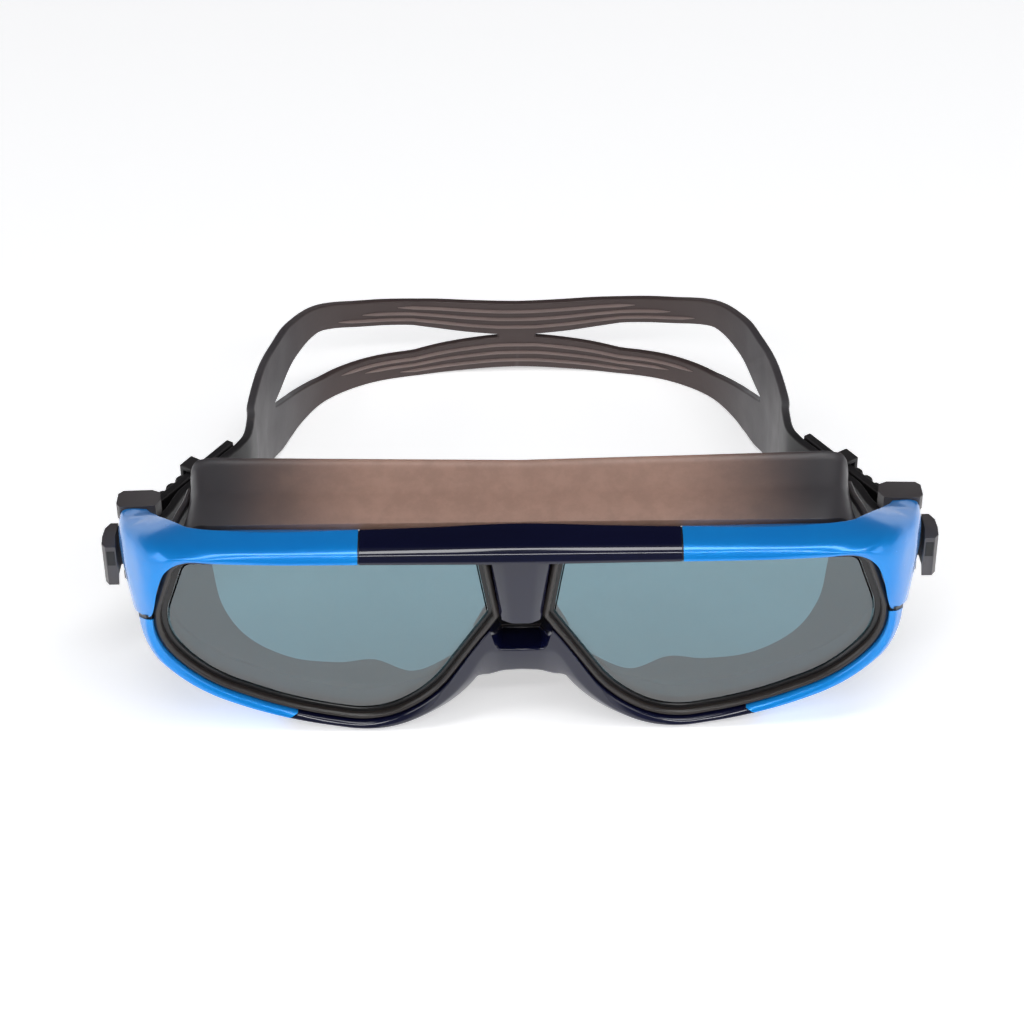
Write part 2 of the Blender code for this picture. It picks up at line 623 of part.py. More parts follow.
def make_housing(name, side, look):
    """The buckle body: two plates on a front wall, with a tongue into the wing."""
    x, q = WING_END_X, WING_END_Q
    made = add_object(name, prism(flip(housing_outline(), side), PLATE_LOW - HOUSING_BOTTOM, PLATE_LOW), look)
    cut(made, prism(flip(housing_outline(), side), PLATE_HIGH, PLATE_HIGH + HOUSING_TOP), "UNION")
    wall = [(x - 3.6, q + FIT + 0.02), (x - 0.1, q + FIT + 0.02), (x - 0.1, q + 1.4), (x - 2.2, q + 1.4),
            (x - 3.0, q + 1.2)]
    cut(made, prism(flip(wall, side), PLATE_LOW - 0.5, PLATE_HIGH + 0.5), "UNION")
    cut(made, tenon(side, 0.0), "UNION")
    for hole_x, hole_q, radius in ((POST_X, POST_Q, POST_RADIUS), (HUB_X, HUB_Q, PIN_RADIUS)):
        disc = disc_outline(side * hole_x, hole_q, radius + FIT)
        cut(made, prism(disc, PLATE_LOW - PIN_SINK - FIT, PLATE_HIGH + PIN_SINK + FIT))
    cut(made, pin_along_x(side, PIN_RADIUS + FIT, WING_END_X - 9.0, WING_END_X + 1.0))
    return made


def make_standing_pin(name, side, x, q, radius, look):
    """A round pin held between the housing's plates."""
    disc = disc_outline(side * x, q, radius)
    return add_object(name, prism(disc, PLATE_LOW - PIN_SINK, PLATE_HIGH + PIN_SINK), look)


def make_lever(name, side, look):
    """The release lever: an outer pad and a pawl, turning on the pin."""
    x, q = WING_END_X, WING_END_Q
    pad = [(x + 0.7, q + 2.2), (x + 0.9, q - 1.0), (x + 0.5, q - 4.6), (x + 2.6, q - 4.6), (x + 3.4, q - 3.4),
           (x + 3.5, q - 1.0), (x + 3.2, q + 1.6), (x + 2.2, q + 3.3), (x + 0.7, q + 3.3)]
    face = TURN_RADIUS + STRAP_THICKNESS / 2 + FIT + 0.05
    hub = [from_post(2.6, face), from_post(-3.6, face + 0.05), (HUB_X - 0.3, HUB_Q - 1.75),
           (x + 1.2, HUB_Q - 1.4), (x + 1.4, HUB_Q + 0.9), (HUB_X + 0.4, HUB_Q + 1.75), from_post(2.8, face + 1.6)]
    made = add_object(name, prism(flip(pad, side), LEVER_LOW, LEVER_HIGH), look,
                      origin=place(side * HUB_X, LEVER_LOW, HUB_Q))
    cut(made, prism(flip(hub, side), LEVER_LOW + 0.02, HUB_HIGH), "UNION")
    cut(made, prism(disc_outline(side * HUB_X, HUB_Q, PIN_RADIUS + FIT), LEVER_LOW - 1.0, HUB_HIGH + 1.0))
    return made


def make_spring(name, side, look):
    """The lever's coil spring round its pin, above the hub."""
    curve = bpy.data.curves.new(name, "CURVE")
    curve.dimensions = "3D"
    curve.bevel_depth = SPRING_WIRE / 2 * MM
    curve.bevel_resolution = 1
    curve.use_fill_caps = True
    steps = 12 * SPRING_TURNS
    radius = PIN_RADIUS + FIT + SPRING_WIRE / 2
    low = HUB_HIGH + FIT + SPRING_WIRE / 2
    high = PLATE_HIGH - FIT - SPRING_WIRE / 2
    line = curve.splines.new("POLY")
    line.points.add(steps)
    for k in range(steps + 1):
        turn = 2 * math.pi * SPRING_TURNS * k / steps
        spot = place(side * (HUB_X + radius * math.cos(turn)), low + (high - low) * k / steps,
                     HUB_Q + radius * math.sin(turn))
        line.points[k].co = (*spot, 1.0)
    made = bpy.data.objects.new(name, curve)
    bpy.context.scene.collection.objects.link(made)
    curve.materials.append(look)
    return made


def make_keeper(name, side, look):
    """The loop that holds the tail against the strap."""
    inner = TURN_RADIUS - LAYER_STEP - STRAP_THICKNESS / 2 - 0.35
    outer = TURN_RADIUS + STRAP_THICKNESS / 2 + 0.35
    low, high = STRAP_BOTTOM_Z - 0.4, STRAP_TOP_Z + 0.4
    start, end = KEEPER_PLACE - KEEPER_LENGTH / 2, KEEPER_PLACE + KEEPER_LENGTH / 2
    rings = []
    for along in (start, end):
        loop = []
        for wall in (KEEPER_WALL, 0.0):
            corners = [(inner - wall, low - wall), (outer + wall, low - wall), (outer + wall, high + wall),
                       (inner - wall, high + wall)]
            loop.append([(*from_post(along, across), z) for across, z in corners])
        rings.append(loop)
    made = bmesh.new()
    grid = [[[made.verts.new(place(side * x, z, q)) for x, q, z in ring] for ring in loop] for loop in rings]
    for k in range(4):
        n = (k + 1) % 4
        made.faces.new((grid[0][0][k], grid[0][0][n], grid[1][0][n], grid[1][0][k]))
        made.faces.new((grid[0][1][k], grid[1][1][k], grid[1][1][n], grid[0][1][n]))
        for loop in grid:
            made.faces.new((loop[0][k], loop[1][k], loop[1][n], loop[0][n]))
    x, q = from_post(KEEPER_PLACE, 0.0)
    return add_object(name, made, look, origin=place(side * x, (low + high) / 2, q))


# ---------------------------------------------------------------- assembly

def main():
    """Build every piece."""
    clear_scene()
    navy = material("navy_gloss", NAVY, 0.12)
    blue = material("blue_pearl", BLUE, 0.22, 0.55)
    black = material("black_plastic", BLACK, 0.30)
    rubber = material("strap_rubber", RUBBER, 0.50)
    soft = material("skirt_silicone", SKIRT, 0.45)
    tint = material("lens_tint", TINT, 0.05)
    steel = material("pin_steel", STEEL, 0.25, 1.0)
    make_brow(navy)
    make_lower_frame(navy)
    make_inner_frame(black)
    make_skirt(soft)
    make_strap(rubber)
    for tag, side in (("left", -1), ("right", 1)):
        make_wing("wing_" + tag, side, blue)
        make_rim_end("rim_end_" + tag, side, blue)
        make_lens("lens_" + tag, side, tint)
        make_gasket("lens_gasket_" + tag, side, soft)
        make_housing("buckle_housing_" + tag, side, black)
        make_lever("release_lever_" + tag, side, black)
        make_standing_pin("lever_pin_" + tag, side, HUB_X, HUB_Q, PIN_RADIUS, steel)
        make_standing_pin("strap_post_" + tag, side, POST_X, POST_Q, POST_RADIUS, steel)
        pin = pin_along_x(side, PIN_RADIUS, WING_END_X - 5.0, WING_END_X - 1.2)
        add_object("buckle_pin_" + tag, pin, steel)
        make_spring("lever_spring_" + tag, side, steel)
        make_keeper("strap_keeper_" + tag, side, rubber)


main()
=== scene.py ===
"""Swim goggles: the fine surfaces, finishes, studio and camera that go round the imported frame.

Shapes are written as (x, z, q) in millimetres on the +X half, where q is the distance behind the front of the
goggles; `place` turns them into the frame's metres. Each sub-assembly is a class that builds and dresses its
pieces.
"""

import logging
import math
from dataclasses import dataclass, field
from enum import Enum
from typing import Callable, Sequence

import bmesh
import bpy
from mathutils import Euler, Matrix, Vector


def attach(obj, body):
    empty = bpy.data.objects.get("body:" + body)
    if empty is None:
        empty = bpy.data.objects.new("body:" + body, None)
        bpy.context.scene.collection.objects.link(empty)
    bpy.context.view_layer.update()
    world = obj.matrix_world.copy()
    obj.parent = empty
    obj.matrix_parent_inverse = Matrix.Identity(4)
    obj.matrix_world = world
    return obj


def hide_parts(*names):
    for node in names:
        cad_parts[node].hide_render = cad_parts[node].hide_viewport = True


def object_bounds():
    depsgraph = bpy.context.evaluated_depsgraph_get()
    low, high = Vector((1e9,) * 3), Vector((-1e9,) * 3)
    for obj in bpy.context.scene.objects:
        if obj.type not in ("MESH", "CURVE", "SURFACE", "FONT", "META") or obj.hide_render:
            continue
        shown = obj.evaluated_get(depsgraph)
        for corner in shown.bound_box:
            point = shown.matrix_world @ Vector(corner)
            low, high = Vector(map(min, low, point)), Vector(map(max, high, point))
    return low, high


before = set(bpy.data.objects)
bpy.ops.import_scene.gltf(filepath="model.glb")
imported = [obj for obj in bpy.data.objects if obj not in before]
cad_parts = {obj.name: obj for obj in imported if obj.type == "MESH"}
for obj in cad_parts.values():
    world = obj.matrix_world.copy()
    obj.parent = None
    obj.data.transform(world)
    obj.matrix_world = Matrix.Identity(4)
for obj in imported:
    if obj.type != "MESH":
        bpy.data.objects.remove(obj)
CAD_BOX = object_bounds()

LOG = logging.getLogger("swim_goggles")
MM = 0.001
FRONT_Y = CAD_BOX[0].y
DEPTH = (CAD_BOX[1].y - CAD_BOX[0].y) / MM

Point = tuple[float, float, float]
Ring = list[Point]
Profile = tuple[tuple[float, float], ...]
Colour = tuple[float, float, float]
Piece = bpy.types.Object
Look = bpy.types.Material
Node = bpy.types.Node
Socket = bpy.types.NodeSocket


# ------------------------------------------------------------------ names

class Side(Enum):
    """The wearer's half that a paired piece is on, as the sign of its X."""

    LEFT = -1
    RIGHT = 1

    @property
    def tag(self) -> str:
        """The ending of the paired nodes' names."""
        return self.name.lower()


class Slot(Enum):
    """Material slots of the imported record."""

    NAVY = "navy_gloss"
    BLUE = "blue_pearl"
    BLACK = "black_plastic"
    STRAP = "strap_rubber"
    SKIRT = "skirt_silicone"
    LENS = "lens_tint"
    STEEL = "pin_steel"


# ------------------------------------------------------------------ curves and sections

def place(x: float, z: float, q: float) -> Vector:
    """World position of a point given across, up and behind the front, in millimetres."""
    return Vector((x * MM, FRONT_Y + q * MM, z * MM))


def through(values: Sequence[Sequence[float]], steps: int) -> list[tuple[float, ...]]:
    """Sample a Catmull-Rom curve.

    Args:
        values: Control tuples of any one length.
        steps: Samples a span.

    Returns:
        The samples, with the last control tuple at the end.
    """
    out: list[tuple[float, ...]] = []
    last = len(values) - 1
    for i in range(last):
        a, b, c, d = (values[max(0, min(last, i + j))] for j in (-1, 0, 1, 2))
        for k in range(steps):
            t = k / steps
            out.append(tuple(
                0.5 * (2 * q + (r - p) * t + (2 * p - 5 * q + 4 * r - s) * t * t
                       + (3 * q - p - 3 * r + s) * t ** 3)
                for p, q, r, s in zip(a, b, c, d)))
    out.append(tuple(values[-1]))
    return out


def smooth_rings(rings: Sequence[Ring], steps: int) -> list[Ring]:
    """Rings interpolated along the loft, each point on its own smooth line."""
    columns = [through([ring[k] for ring in rings], steps) for k in range(len(rings[0]))]
    return [[column[i] for column in columns] for i in range(len(columns[0]))]


def soften(ring: Ring, cuts: Sequence[float], steps: int = 3) -> Ring:
    """Round a ring's corners.

    Args:
        ring: Corner points of a closed section.
        cuts: How far each corner is cut back along both edges; 0 keeps it sharp.
        steps: Spans of each rounded corner.

    Returns:
        The ring with each cut corner replaced by a short arc.
    """
    out: Ring = []
    count = len(ring)
    for k, cut in enumerate(cuts):
        here = Vector(ring[k])
        if cut <= 0:
            out.append(tuple(here))
            continue
        ends = []
        for other in (ring[k - 1], ring[(k + 1) % count]):
            edge = Vector(other) - here
            ends.append(here + edge * min(0.45, cut / max(edge.length, 1e-6)))
        for i in range(steps + 1):
            t = i / steps
            out.append(tuple(ends[0] * (1 - t) ** 2 + here * 2 * t * (1 - t) + ends[1] * t * t))
    return out


def mirrored(ring: Ring, side: Side) -> Ring:
    """The same section on one half."""
    return [(side.value * x, z, q) for x, z, q in ring]


def inset(ring: Ring, share: float = 0.93) -> Ring:
    """A section drawn in towards its middle."""
    middle = sum((Vector(point) for point in ring), Vector()) / len(ring)
    return [tuple(middle.lerp(Vector(point), share)) for point in ring]


def ease(value: float) -> float:
    """A smooth step from 0 to 1."""
    value = max(0.0, min(1.0, value))
    return value * value * (3 - 2 * value)


# ------------------------------------------------------------------ meshes

class Solid:
    """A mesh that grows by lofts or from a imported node, and becomes one shown piece."""

    def __init__(self) -> None:
        """Start with an empty mesh."""
        self.mesh = bmesh.new()

    def loft(self, rings: Sequence[Ring], closed: bool = False) -> "Solid":
        """Join rings of (x, z, q) points, capped at both ends or joined into a loop."""
        new = self.mesh.verts.new
        grid = [[new(place(*point)) for point in ring] for ring in rings]
        count = len(grid[0])
        pairs = list(zip(grid, grid[1:])) + ([(grid[-1], grid[0])] if closed else [])
        for near, far in pairs:
            for k in range(count):
                n = (k + 1) % count
                self.mesh.faces.new((near[k], near[n], far[n], far[k]))
        if not closed:
            for cap in (grid[0], grid[-1]):
                self.mesh.faces.new(cap)
        return self

    def copy_of(self, node: str) -> "Solid":
        """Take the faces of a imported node, with its flat areas joined again."""
        self.mesh.from_mesh(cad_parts[node].data)
        bmesh.ops.remove_doubles(self.mesh, verts=self.mesh.verts, dist=1e-7)
        bmesh.ops.dissolve_limit(self.mesh, angle_limit=math.radians(1.0), verts=self.mesh.verts,
                                 edges=self.mesh.edges)
        return self

    def finish(self, name: str, slot: Slot, look: Look, nodes: Sequence[str] = (),
               body: str = "frame", bevel: float = 0.0, sharp: float = 38.0) -> Piece:
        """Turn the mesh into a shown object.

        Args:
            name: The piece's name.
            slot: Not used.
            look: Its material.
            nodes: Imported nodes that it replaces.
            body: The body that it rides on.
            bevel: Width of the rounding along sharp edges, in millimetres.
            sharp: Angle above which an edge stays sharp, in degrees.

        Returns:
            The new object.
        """
        bmesh.ops.recalc_face_normals(self.mesh, faces=self.mesh.faces)
        data = bpy.data.meshes.new(name)
        self.mesh.to_mesh(data)
        self.mesh.free()
        data.materials.clear()
        data.materials.append(look)
        data.shade_smooth()
        data.set_sharp_from_angle(angle=math.radians(sharp))
        made = bpy.data.objects.new(name, data)
        bpy.context.scene.collection.objects.link(made)
        if bevel:
            step = made.modifiers.new("edge_round", "BEVEL")
            step.width = bevel * MM
            step.segments = 3
            step.limit_method = "ANGLE"
            step.angle_limit = math.radians(sharp)
            step.harden_normals = True
        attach(made, body)
        if nodes:
            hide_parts(*nodes)
        return made


# ------------------------------------------------------------------ shader wiring

def rgba(colour: Colour) -> tuple[float, float, float, float]:
    """A colour with full alpha."""
    return (*colour, 1.0)


class Wiring:
    """Short calls that add and join shader nodes in one tree."""

    def __init__(self, tree: bpy.types.NodeTree) -> None:
        """Work in one tree."""
        self.tree = tree

    def add(self, kind: str, inputs: dict[str, object] | None = None, **settings: object) -> Node:
        """Add a node.

        Args:
            kind: The node's type name.
            inputs: Values or sockets for its inputs.
            **settings: Its own properties.

        Returns:
            The new node.
        """
        made = self.tree.nodes.new(kind)
        for key, value in settings.items():
            setattr(made, key, value)
        for key, value in (inputs or {}).items():
            self.feed(made.inputs[key], value)
        return made

    def feed(self, socket: Socket, value: object) -> None:
        """Join a socket to an input, or set the input's own value."""
        if isinstance(value, Socket):
            self.tree.links.new(value, socket)
        else:
            socket.default_value = value

    def maths(self, operation: str, a: object, b: object = 0.0) -> Socket:
        """One Math node's result."""
        made = self.add("ShaderNodeMath", operation=operation)
        self.feed(made.inputs[0], a)
        self.feed(made.inputs[1], b)
        return made.outputs[0]

    def span(self, value: object, low: float, high: float, to_low: float = 0.0,
             to_high: float = 1.0) -> Socket:
        """A value carried smoothly from one range to another."""
        made = self.add("ShaderNodeMapRange", interpolation_type="SMOOTHSTEP")
        for key, number in (("Value", value), ("From Min", low), ("From Max", high), ("To Min", to_low),
                            ("To Max", to_high)):
            self.feed(made.inputs[key], number)
        return made.outputs["Result"]

    def blend(self, share: object, a: object, b: object) -> Socket:
        """Two colours mixed by a share."""
        made = self.add("ShaderNodeMix", data_type="RGBA")
        for index, value in ((0, share), (6, a), (7, b)):
            self.feed(made.inputs[index], value)
        return made.outputs[2]


class Effects:
    """Node groups that several finishes share, each made once."""

    def __init__(self) -> None:
        """Make every group."""
        self.grain = self._group("moulded_grain", {"Scale": 900.0, "Roughness": 0.3, "Spread": 0.06},
                                 ("Height", "Roughness"), self._grain)
        self.marks = self._group("handling_marks", {"Scale": 60.0, "Amount": 0.05}, ("Mask",), self._marks)
        grey = rgba((0.5, 0.5, 0.5))
        self.drift = self._group("colour_drift", {"Colour": grey, "Other": grey, "Scale": 40.0}, ("Colour",),
                                 self._drift)
        # Edge mask for lightened edges: rubbing, and a painted highlight.
        self.edges = self._group("edge_rub_and_sheen", {"Start": 0.52, "End": 0.62}, ("Mask",), self._edges)

    @staticmethod
    def _group(name: str, inputs: dict[str, object], outputs: Sequence[str],
               wire: Callable[[Wiring, Node, Node], None]) -> bpy.types.NodeTree:
        """Make one group with named sockets and let `wire` fill it."""
        tree = bpy.data.node_groups.new(name, "ShaderNodeTree")
        for key, value in inputs.items():
            kind = "NodeSocketColor" if isinstance(value, tuple) else "NodeSocketFloat"
            tree.interface.new_socket(key, in_out="INPUT", socket_type=kind).default_value = value
        for key in outputs:
            kind = "NodeSocketColor" if key == "Colour" else "NodeSocketFloat"
            tree.interface.new_socket(key, in_out="OUTPUT", socket_type=kind)
        wiring = Wiring(tree)
        wire(wiring, wiring.add("NodeGroupInput"), wiring.add("NodeGroupOutput"))
        return tree

    @staticmethod
    def _grain(w: Wiring, start: Node, end: Node) -> None:
        """The fine texture that a mould leaves, as a bump height and a roughness."""
        spot = w.add("ShaderNodeTexCoord").outputs["Object"]
        fine = w.add("ShaderNodeTexNoise", {"Vector": spot, "Scale": start.outputs["Scale"], "Detail": 3.0})
        broad = w.add("ShaderNodeTexNoise", {"Vector": spot, "Scale": 140.0, "Detail": 4.0})
        w.feed(end.inputs["Height"], fine.outputs["Fac"])
        shift = w.maths("MULTIPLY", w.maths("SUBTRACT", broad.outputs["Fac"], 0.5), start.outputs["Spread"])
        rough = w.maths("ADD", start.outputs["Roughness"], w.maths("MULTIPLY", shift, 2.0))
        w.feed(end.inputs["Roughness"], rough)

    @staticmethod
    def _marks(w: Wiring, start: Node, end: Node) -> None:
        """Hairline scuffs and smudges from handling."""
        spot = w.add("ShaderNodeTexCoord").outputs["Object"]
        stretch = w.add("ShaderNodeMapping", {"Vector": spot, "Scale": (1.0, 6.0, 6.0),
                                              "Rotation": (0.2, 0.3, 0.5)})
        hair = w.add("ShaderNodeTexNoise", {"Vector": stretch.outputs["Vector"], "Detail": 8.0,
                                            "Scale": start.outputs["Scale"], "Roughness": 0.75})
        smudge = w.add("ShaderNodeTexNoise", {"Vector": spot, "Scale": 45.0, "Detail": 2.0})
        both = w.maths("MULTIPLY", w.span(hair.outputs["Fac"], 0.60, 0.72),
                       w.span(smudge.outputs["Fac"], 0.45, 0.7))
        w.feed(end.inputs["Mask"], w.maths("MULTIPLY", both, start.outputs["Amount"]))

    @staticmethod
    def _drift(w: Wiring, start: Node, end: Node) -> None:
        """A slow, uneven change between two colours."""
        spot = w.add("ShaderNodeTexCoord").outputs["Object"]
        cloud = w.add("ShaderNodeTexNoise", {"Vector": spot, "Scale": start.outputs["Scale"], "Detail": 5.0,
                                             "Roughness": 0.6})
        share = w.span(cloud.outputs["Fac"], 0.3, 0.7)
        w.feed(end.inputs["Colour"], w.blend(share, start.outputs["Colour"], start.outputs["Other"]))

    @staticmethod
    def _edges(w: Wiring, start: Node, end: Node) -> None:
        """Where the form turns outwards sharply: edges that handling polishes, also lightened there as a
        painted highlight.
        """
        bend = w.add("ShaderNodeNewGeometry").outputs["Pointiness"]
        made = w.add("ShaderNodeMapRange", {"Value": bend, "From Min": start.outputs["Start"],
                                            "From Max": start.outputs["End"]})
        w.feed(end.inputs["Mask"], made.outputs["Result"])


# ------------------------------------------------------------------ finishes

@dataclass(frozen=True)
class Finish:
    """A surface finish with grain, colour drift, and sharp edges lightened by rubbing and by a painted
    highlight.

    Attributes:
        name: The material's name.
        colour: Main colour, linear.
        other: Colour that the main one drifts to.
        edge_rub_sheen_colour: Colour of polished edges, partly a painted highlight.
        roughness: Mean roughness.
        spread: How far the roughness varies.
        grain_scale: Fineness of the grain.
        grain_depth: Bump distance of the grain, in millimetres.
        coat: Weight of the clear coat.
        coat_roughness: Roughness of the clear coat.
        metallic: Metallic value.
        specular: Strength of the base layer's reflection.
        edge_rub_sheen: Strength of the lightened edges, partly rubbing and partly a painted highlight.
    """

    name: str
    colour: Colour
    other: Colour
    edge_rub_sheen_colour: Colour
    roughness: float = 0.3
    spread: float = 0.05
    grain_scale: float = 1500.0
    grain_depth: float = 0.01
    coat: float = 0.0
    coat_roughness: float = 0.03
    metallic: float = 0.0
    specular: float = 0.5
    edge_rub_sheen: float = 0.3

    def start(self) -> tuple[Look, Wiring, Node]:
        """A new material, its wiring and its Principled shader, with the plain values set."""
        made = bpy.data.materials.new(self.name)
        made.use_nodes = True
        wiring = Wiring(made.node_tree)
        shader = made.node_tree.nodes["Principled BSDF"]
        for key, value in (("Metallic", self.metallic), ("Coat Weight", self.coat),
                           ("Coat Roughness", self.coat_roughness), ("Specular IOR Level", self.specular)):
            shader.inputs[key].default_value = value
        return made, wiring, shader

    def base(self, w: Wiring, effects: Effects) -> Socket:
        """The drifting main colour."""
        group = w.add("ShaderNodeGroup", node_tree=effects.drift)
        group.inputs["Colour"].default_value = rgba(self.colour)
        group.inputs["Other"].default_value = rgba(self.other)
        return group.outputs["Colour"]

    def dress(self, w: Wiring, shader: Node, effects: Effects,
              colour: Socket) -> None:
        """Add the lightened edges (rubbing and a painted highlight), the grain and the marks to a base
        colour.
        """
        # Sharp edges are blended to a lighter colour: partly rubbing, partly a painted highlight along them.
        edges = w.add("ShaderNodeGroup", node_tree=effects.edges)
        share = w.maths("MULTIPLY", edges.outputs["Mask"], self.edge_rub_sheen)
        w.feed(shader.inputs["Base Color"], w.blend(share, colour, rgba(self.edge_rub_sheen_colour)))
        grain = w.add("ShaderNodeGroup", node_tree=effects.grain)
        for key, value in (("Scale", self.grain_scale), ("Roughness", self.roughness),
                           ("Spread", self.spread)):
            grain.inputs[key].default_value = value
        marks = w.add("ShaderNodeGroup", node_tree=effects.marks)
        rough = w.maths("ADD", grain.outputs["Roughness"], marks.outputs["Mask"])
        w.feed(shader.inputs["Roughness"], rough)
        bump = w.add("ShaderNodeBump", {"Height": grain.outputs["Height"], "Strength": 1.0,
                                        "Distance": self.grain_depth * MM})
        w.feed(shader.inputs["Normal"], bump.outputs["Normal"])

    def material(self, effects: Effects) -> Look:
        """Build the finish as a material."""
        made, w, shader = self.start()
        self.dress(w, shader, effects, self.base(w, effects))
        return made


@dataclass(frozen=True)
class PearlLacquer(Finish):
    """A metallic lacquer with fine flakes, whose colour is painted paler where the surface turns away: a
    painted reflection of the pale surroundings at grazing angles.
    """

    # Colour of the painted grazing reflection.
    pale: Colour = (0.16, 0.36, 0.78)
    flake: Colour = (0.02, 0.35, 0.95)

    def material(self, effects: Effects) -> Look:
        """Build the lacquer."""
        made, w, shader = self.start()
        spot = w.add("ShaderNodeTexCoord").outputs["Object"]
        cells = w.add("ShaderNodeTexVoronoi", {"Vector": spot, "Scale": 5200.0})
        flakes = w.maths("MULTIPLY", w.span(cells.outputs["Distance"], 0.35, 0.05), 0.22)
        colour = w.blend(flakes, self.base(w, effects), rgba(self.flake))
        # Painted reflection: the colour is mixed towards a pale lavender where the surface turns away from
        # the view.
        facing = w.add("ShaderNodeLayerWeight", {"Blend": 0.35}).outputs["Facing"]
        colour = w.blend(w.maths("MULTIPLY", facing, 0.25), colour, rgba(self.pale))
        self.dress(w, shader, effects, colour)
        return made


@dataclass(frozen=True)
class RubberWithPaintedShade(Finish):
    """Strap rubber, browner round the back of the head, with painted shade that turns it near black towards
    the buckles.
    """

    # Colour of the painted shade near the buckles.
    dark: Colour = (0.012, 0.011, 0.012)
    back: Colour = (0.066, 0.043, 0.040)

    def material(self, effects: Effects) -> Look:
        """Build the rubber."""
        made, w, shader = self.start()
        axes = w.add("ShaderNodeSeparateXYZ", {"Vector": w.add("ShaderNodeTexCoord").outputs["Object"]})
        # Painted shade: towards the buckles, where the strap's inner face lies in shadow, the colour is
        # blended to near black.
        behind = w.span(axes.outputs["Y"], -12 * MM, 8 * MM)
        centre = w.span(axes.outputs["Y"], 30 * MM, 60 * MM)
        colour = w.blend(behind, rgba(self.dark), self.base(w, effects))
        self.dress(w, shader, effects, w.blend(centre, colour, rgba(self.back)))
        return made


@dataclass(frozen=True)
class ClearedSilicone(Finish):
    """Smoke silicone, dark towards the temples, with painted light on the forehead: a brown glow of light
    passing through, painted into the colour.
    """

    # Colour of the painted glow of light passing through.
    painted_glow: Colour = (0.44, 0.27, 0.21)
    fade_start: float = 26.0
    fade_end: float = 60.0

    def material(self, effects: Effects) -> Look:
        """Build the silicone."""
        made, w, shader = self.start()
        spot = w.add("ShaderNodeTexCoord").outputs["Object"]
        axes = w.add("ShaderNodeSeparateXYZ", {"Vector": spot})
        across = w.maths("ABSOLUTE", axes.outputs["X"])
        wisps = w.add("ShaderNodeTexNoise", {"Vector": spot, "Scale": 120.0, "Detail": 4.0})
        wobble = w.maths("MULTIPLY", w.maths("SUBTRACT", wisps.outputs["Fac"], 0.5), 4 * MM)
        # Painted light: the brown glow of light passing through the forehead part is painted into the base
        # colour, fading out towards the temples and below the top edge.
        sides = w.span(w.maths("ADD", across, wobble), self.fade_start * MM, self.fade_end * MM, 1.0, 0.0)
        height = w.span(axes.outputs["Z"], 40 * MM, 45 * MM)
        cloud = w.add("ShaderNodeTexNoise", {"Vector": spot, "Scale": 260.0, "Detail": 6.0, "Roughness": 0.7})
        painted_glow = w.blend(w.span(cloud.outputs["Fac"], 0.35, 0.65), rgba(self.painted_glow),
                       rgba(tuple(0.86 * part for part in self.painted_glow)))
        colour = w.blend(w.maths("MULTIPLY", sides, height), self.base(w, effects), painted_glow)
        shader.inputs["Subsurface Weight"].default_value = 0.08
        shader.inputs["Subsurface Radius"].default_value = (1.2 * MM, 0.7 * MM, 0.5 * MM)
        shader.inputs["Subsurface Scale"].default_value = 1.0
        self.dress(w, shader, effects, colour)
        return made


@dataclass(frozen=True)
class TintedGlass(Finish):
    """A clear tinted pane whose shadow is tinted too."""

    shade: Colour = (0.62, 0.72, 0.74)
    ior: float = 1.8

    def material(self, effects: Effects) -> Look:
        """Build the pane."""
        made, w, shader = self.start()
        shader.inputs["Transmission Weight"].default_value = 1.0
        shader.inputs["IOR"].default_value = self.ior
        w.feed(shader.inputs["Base Color"], self.base(w, effects))
        marks = w.add("ShaderNodeGroup", node_tree=effects.marks)
        marks.inputs["Amount"].default_value = 0.02
        w.feed(shader.inputs["Roughness"], w.maths("ADD", marks.outputs["Mask"], self.roughness))
        clear = w.add("ShaderNodeBsdfTransparent", {"Color": rgba(self.shade)})
        path = w.add("ShaderNodeLightPath")
        mix = w.add("ShaderNodeMixShader")
        w.feed(mix.inputs[0], path.outputs["Is Shadow Ray"])
        w.feed(mix.inputs[1], shader.outputs["BSDF"])
        w.feed(mix.inputs[2], clear.outputs["BSDF"])
        w.feed(made.node_tree.nodes["Material Output"].inputs["Surface"], mix.outputs["Shader"])
        return made


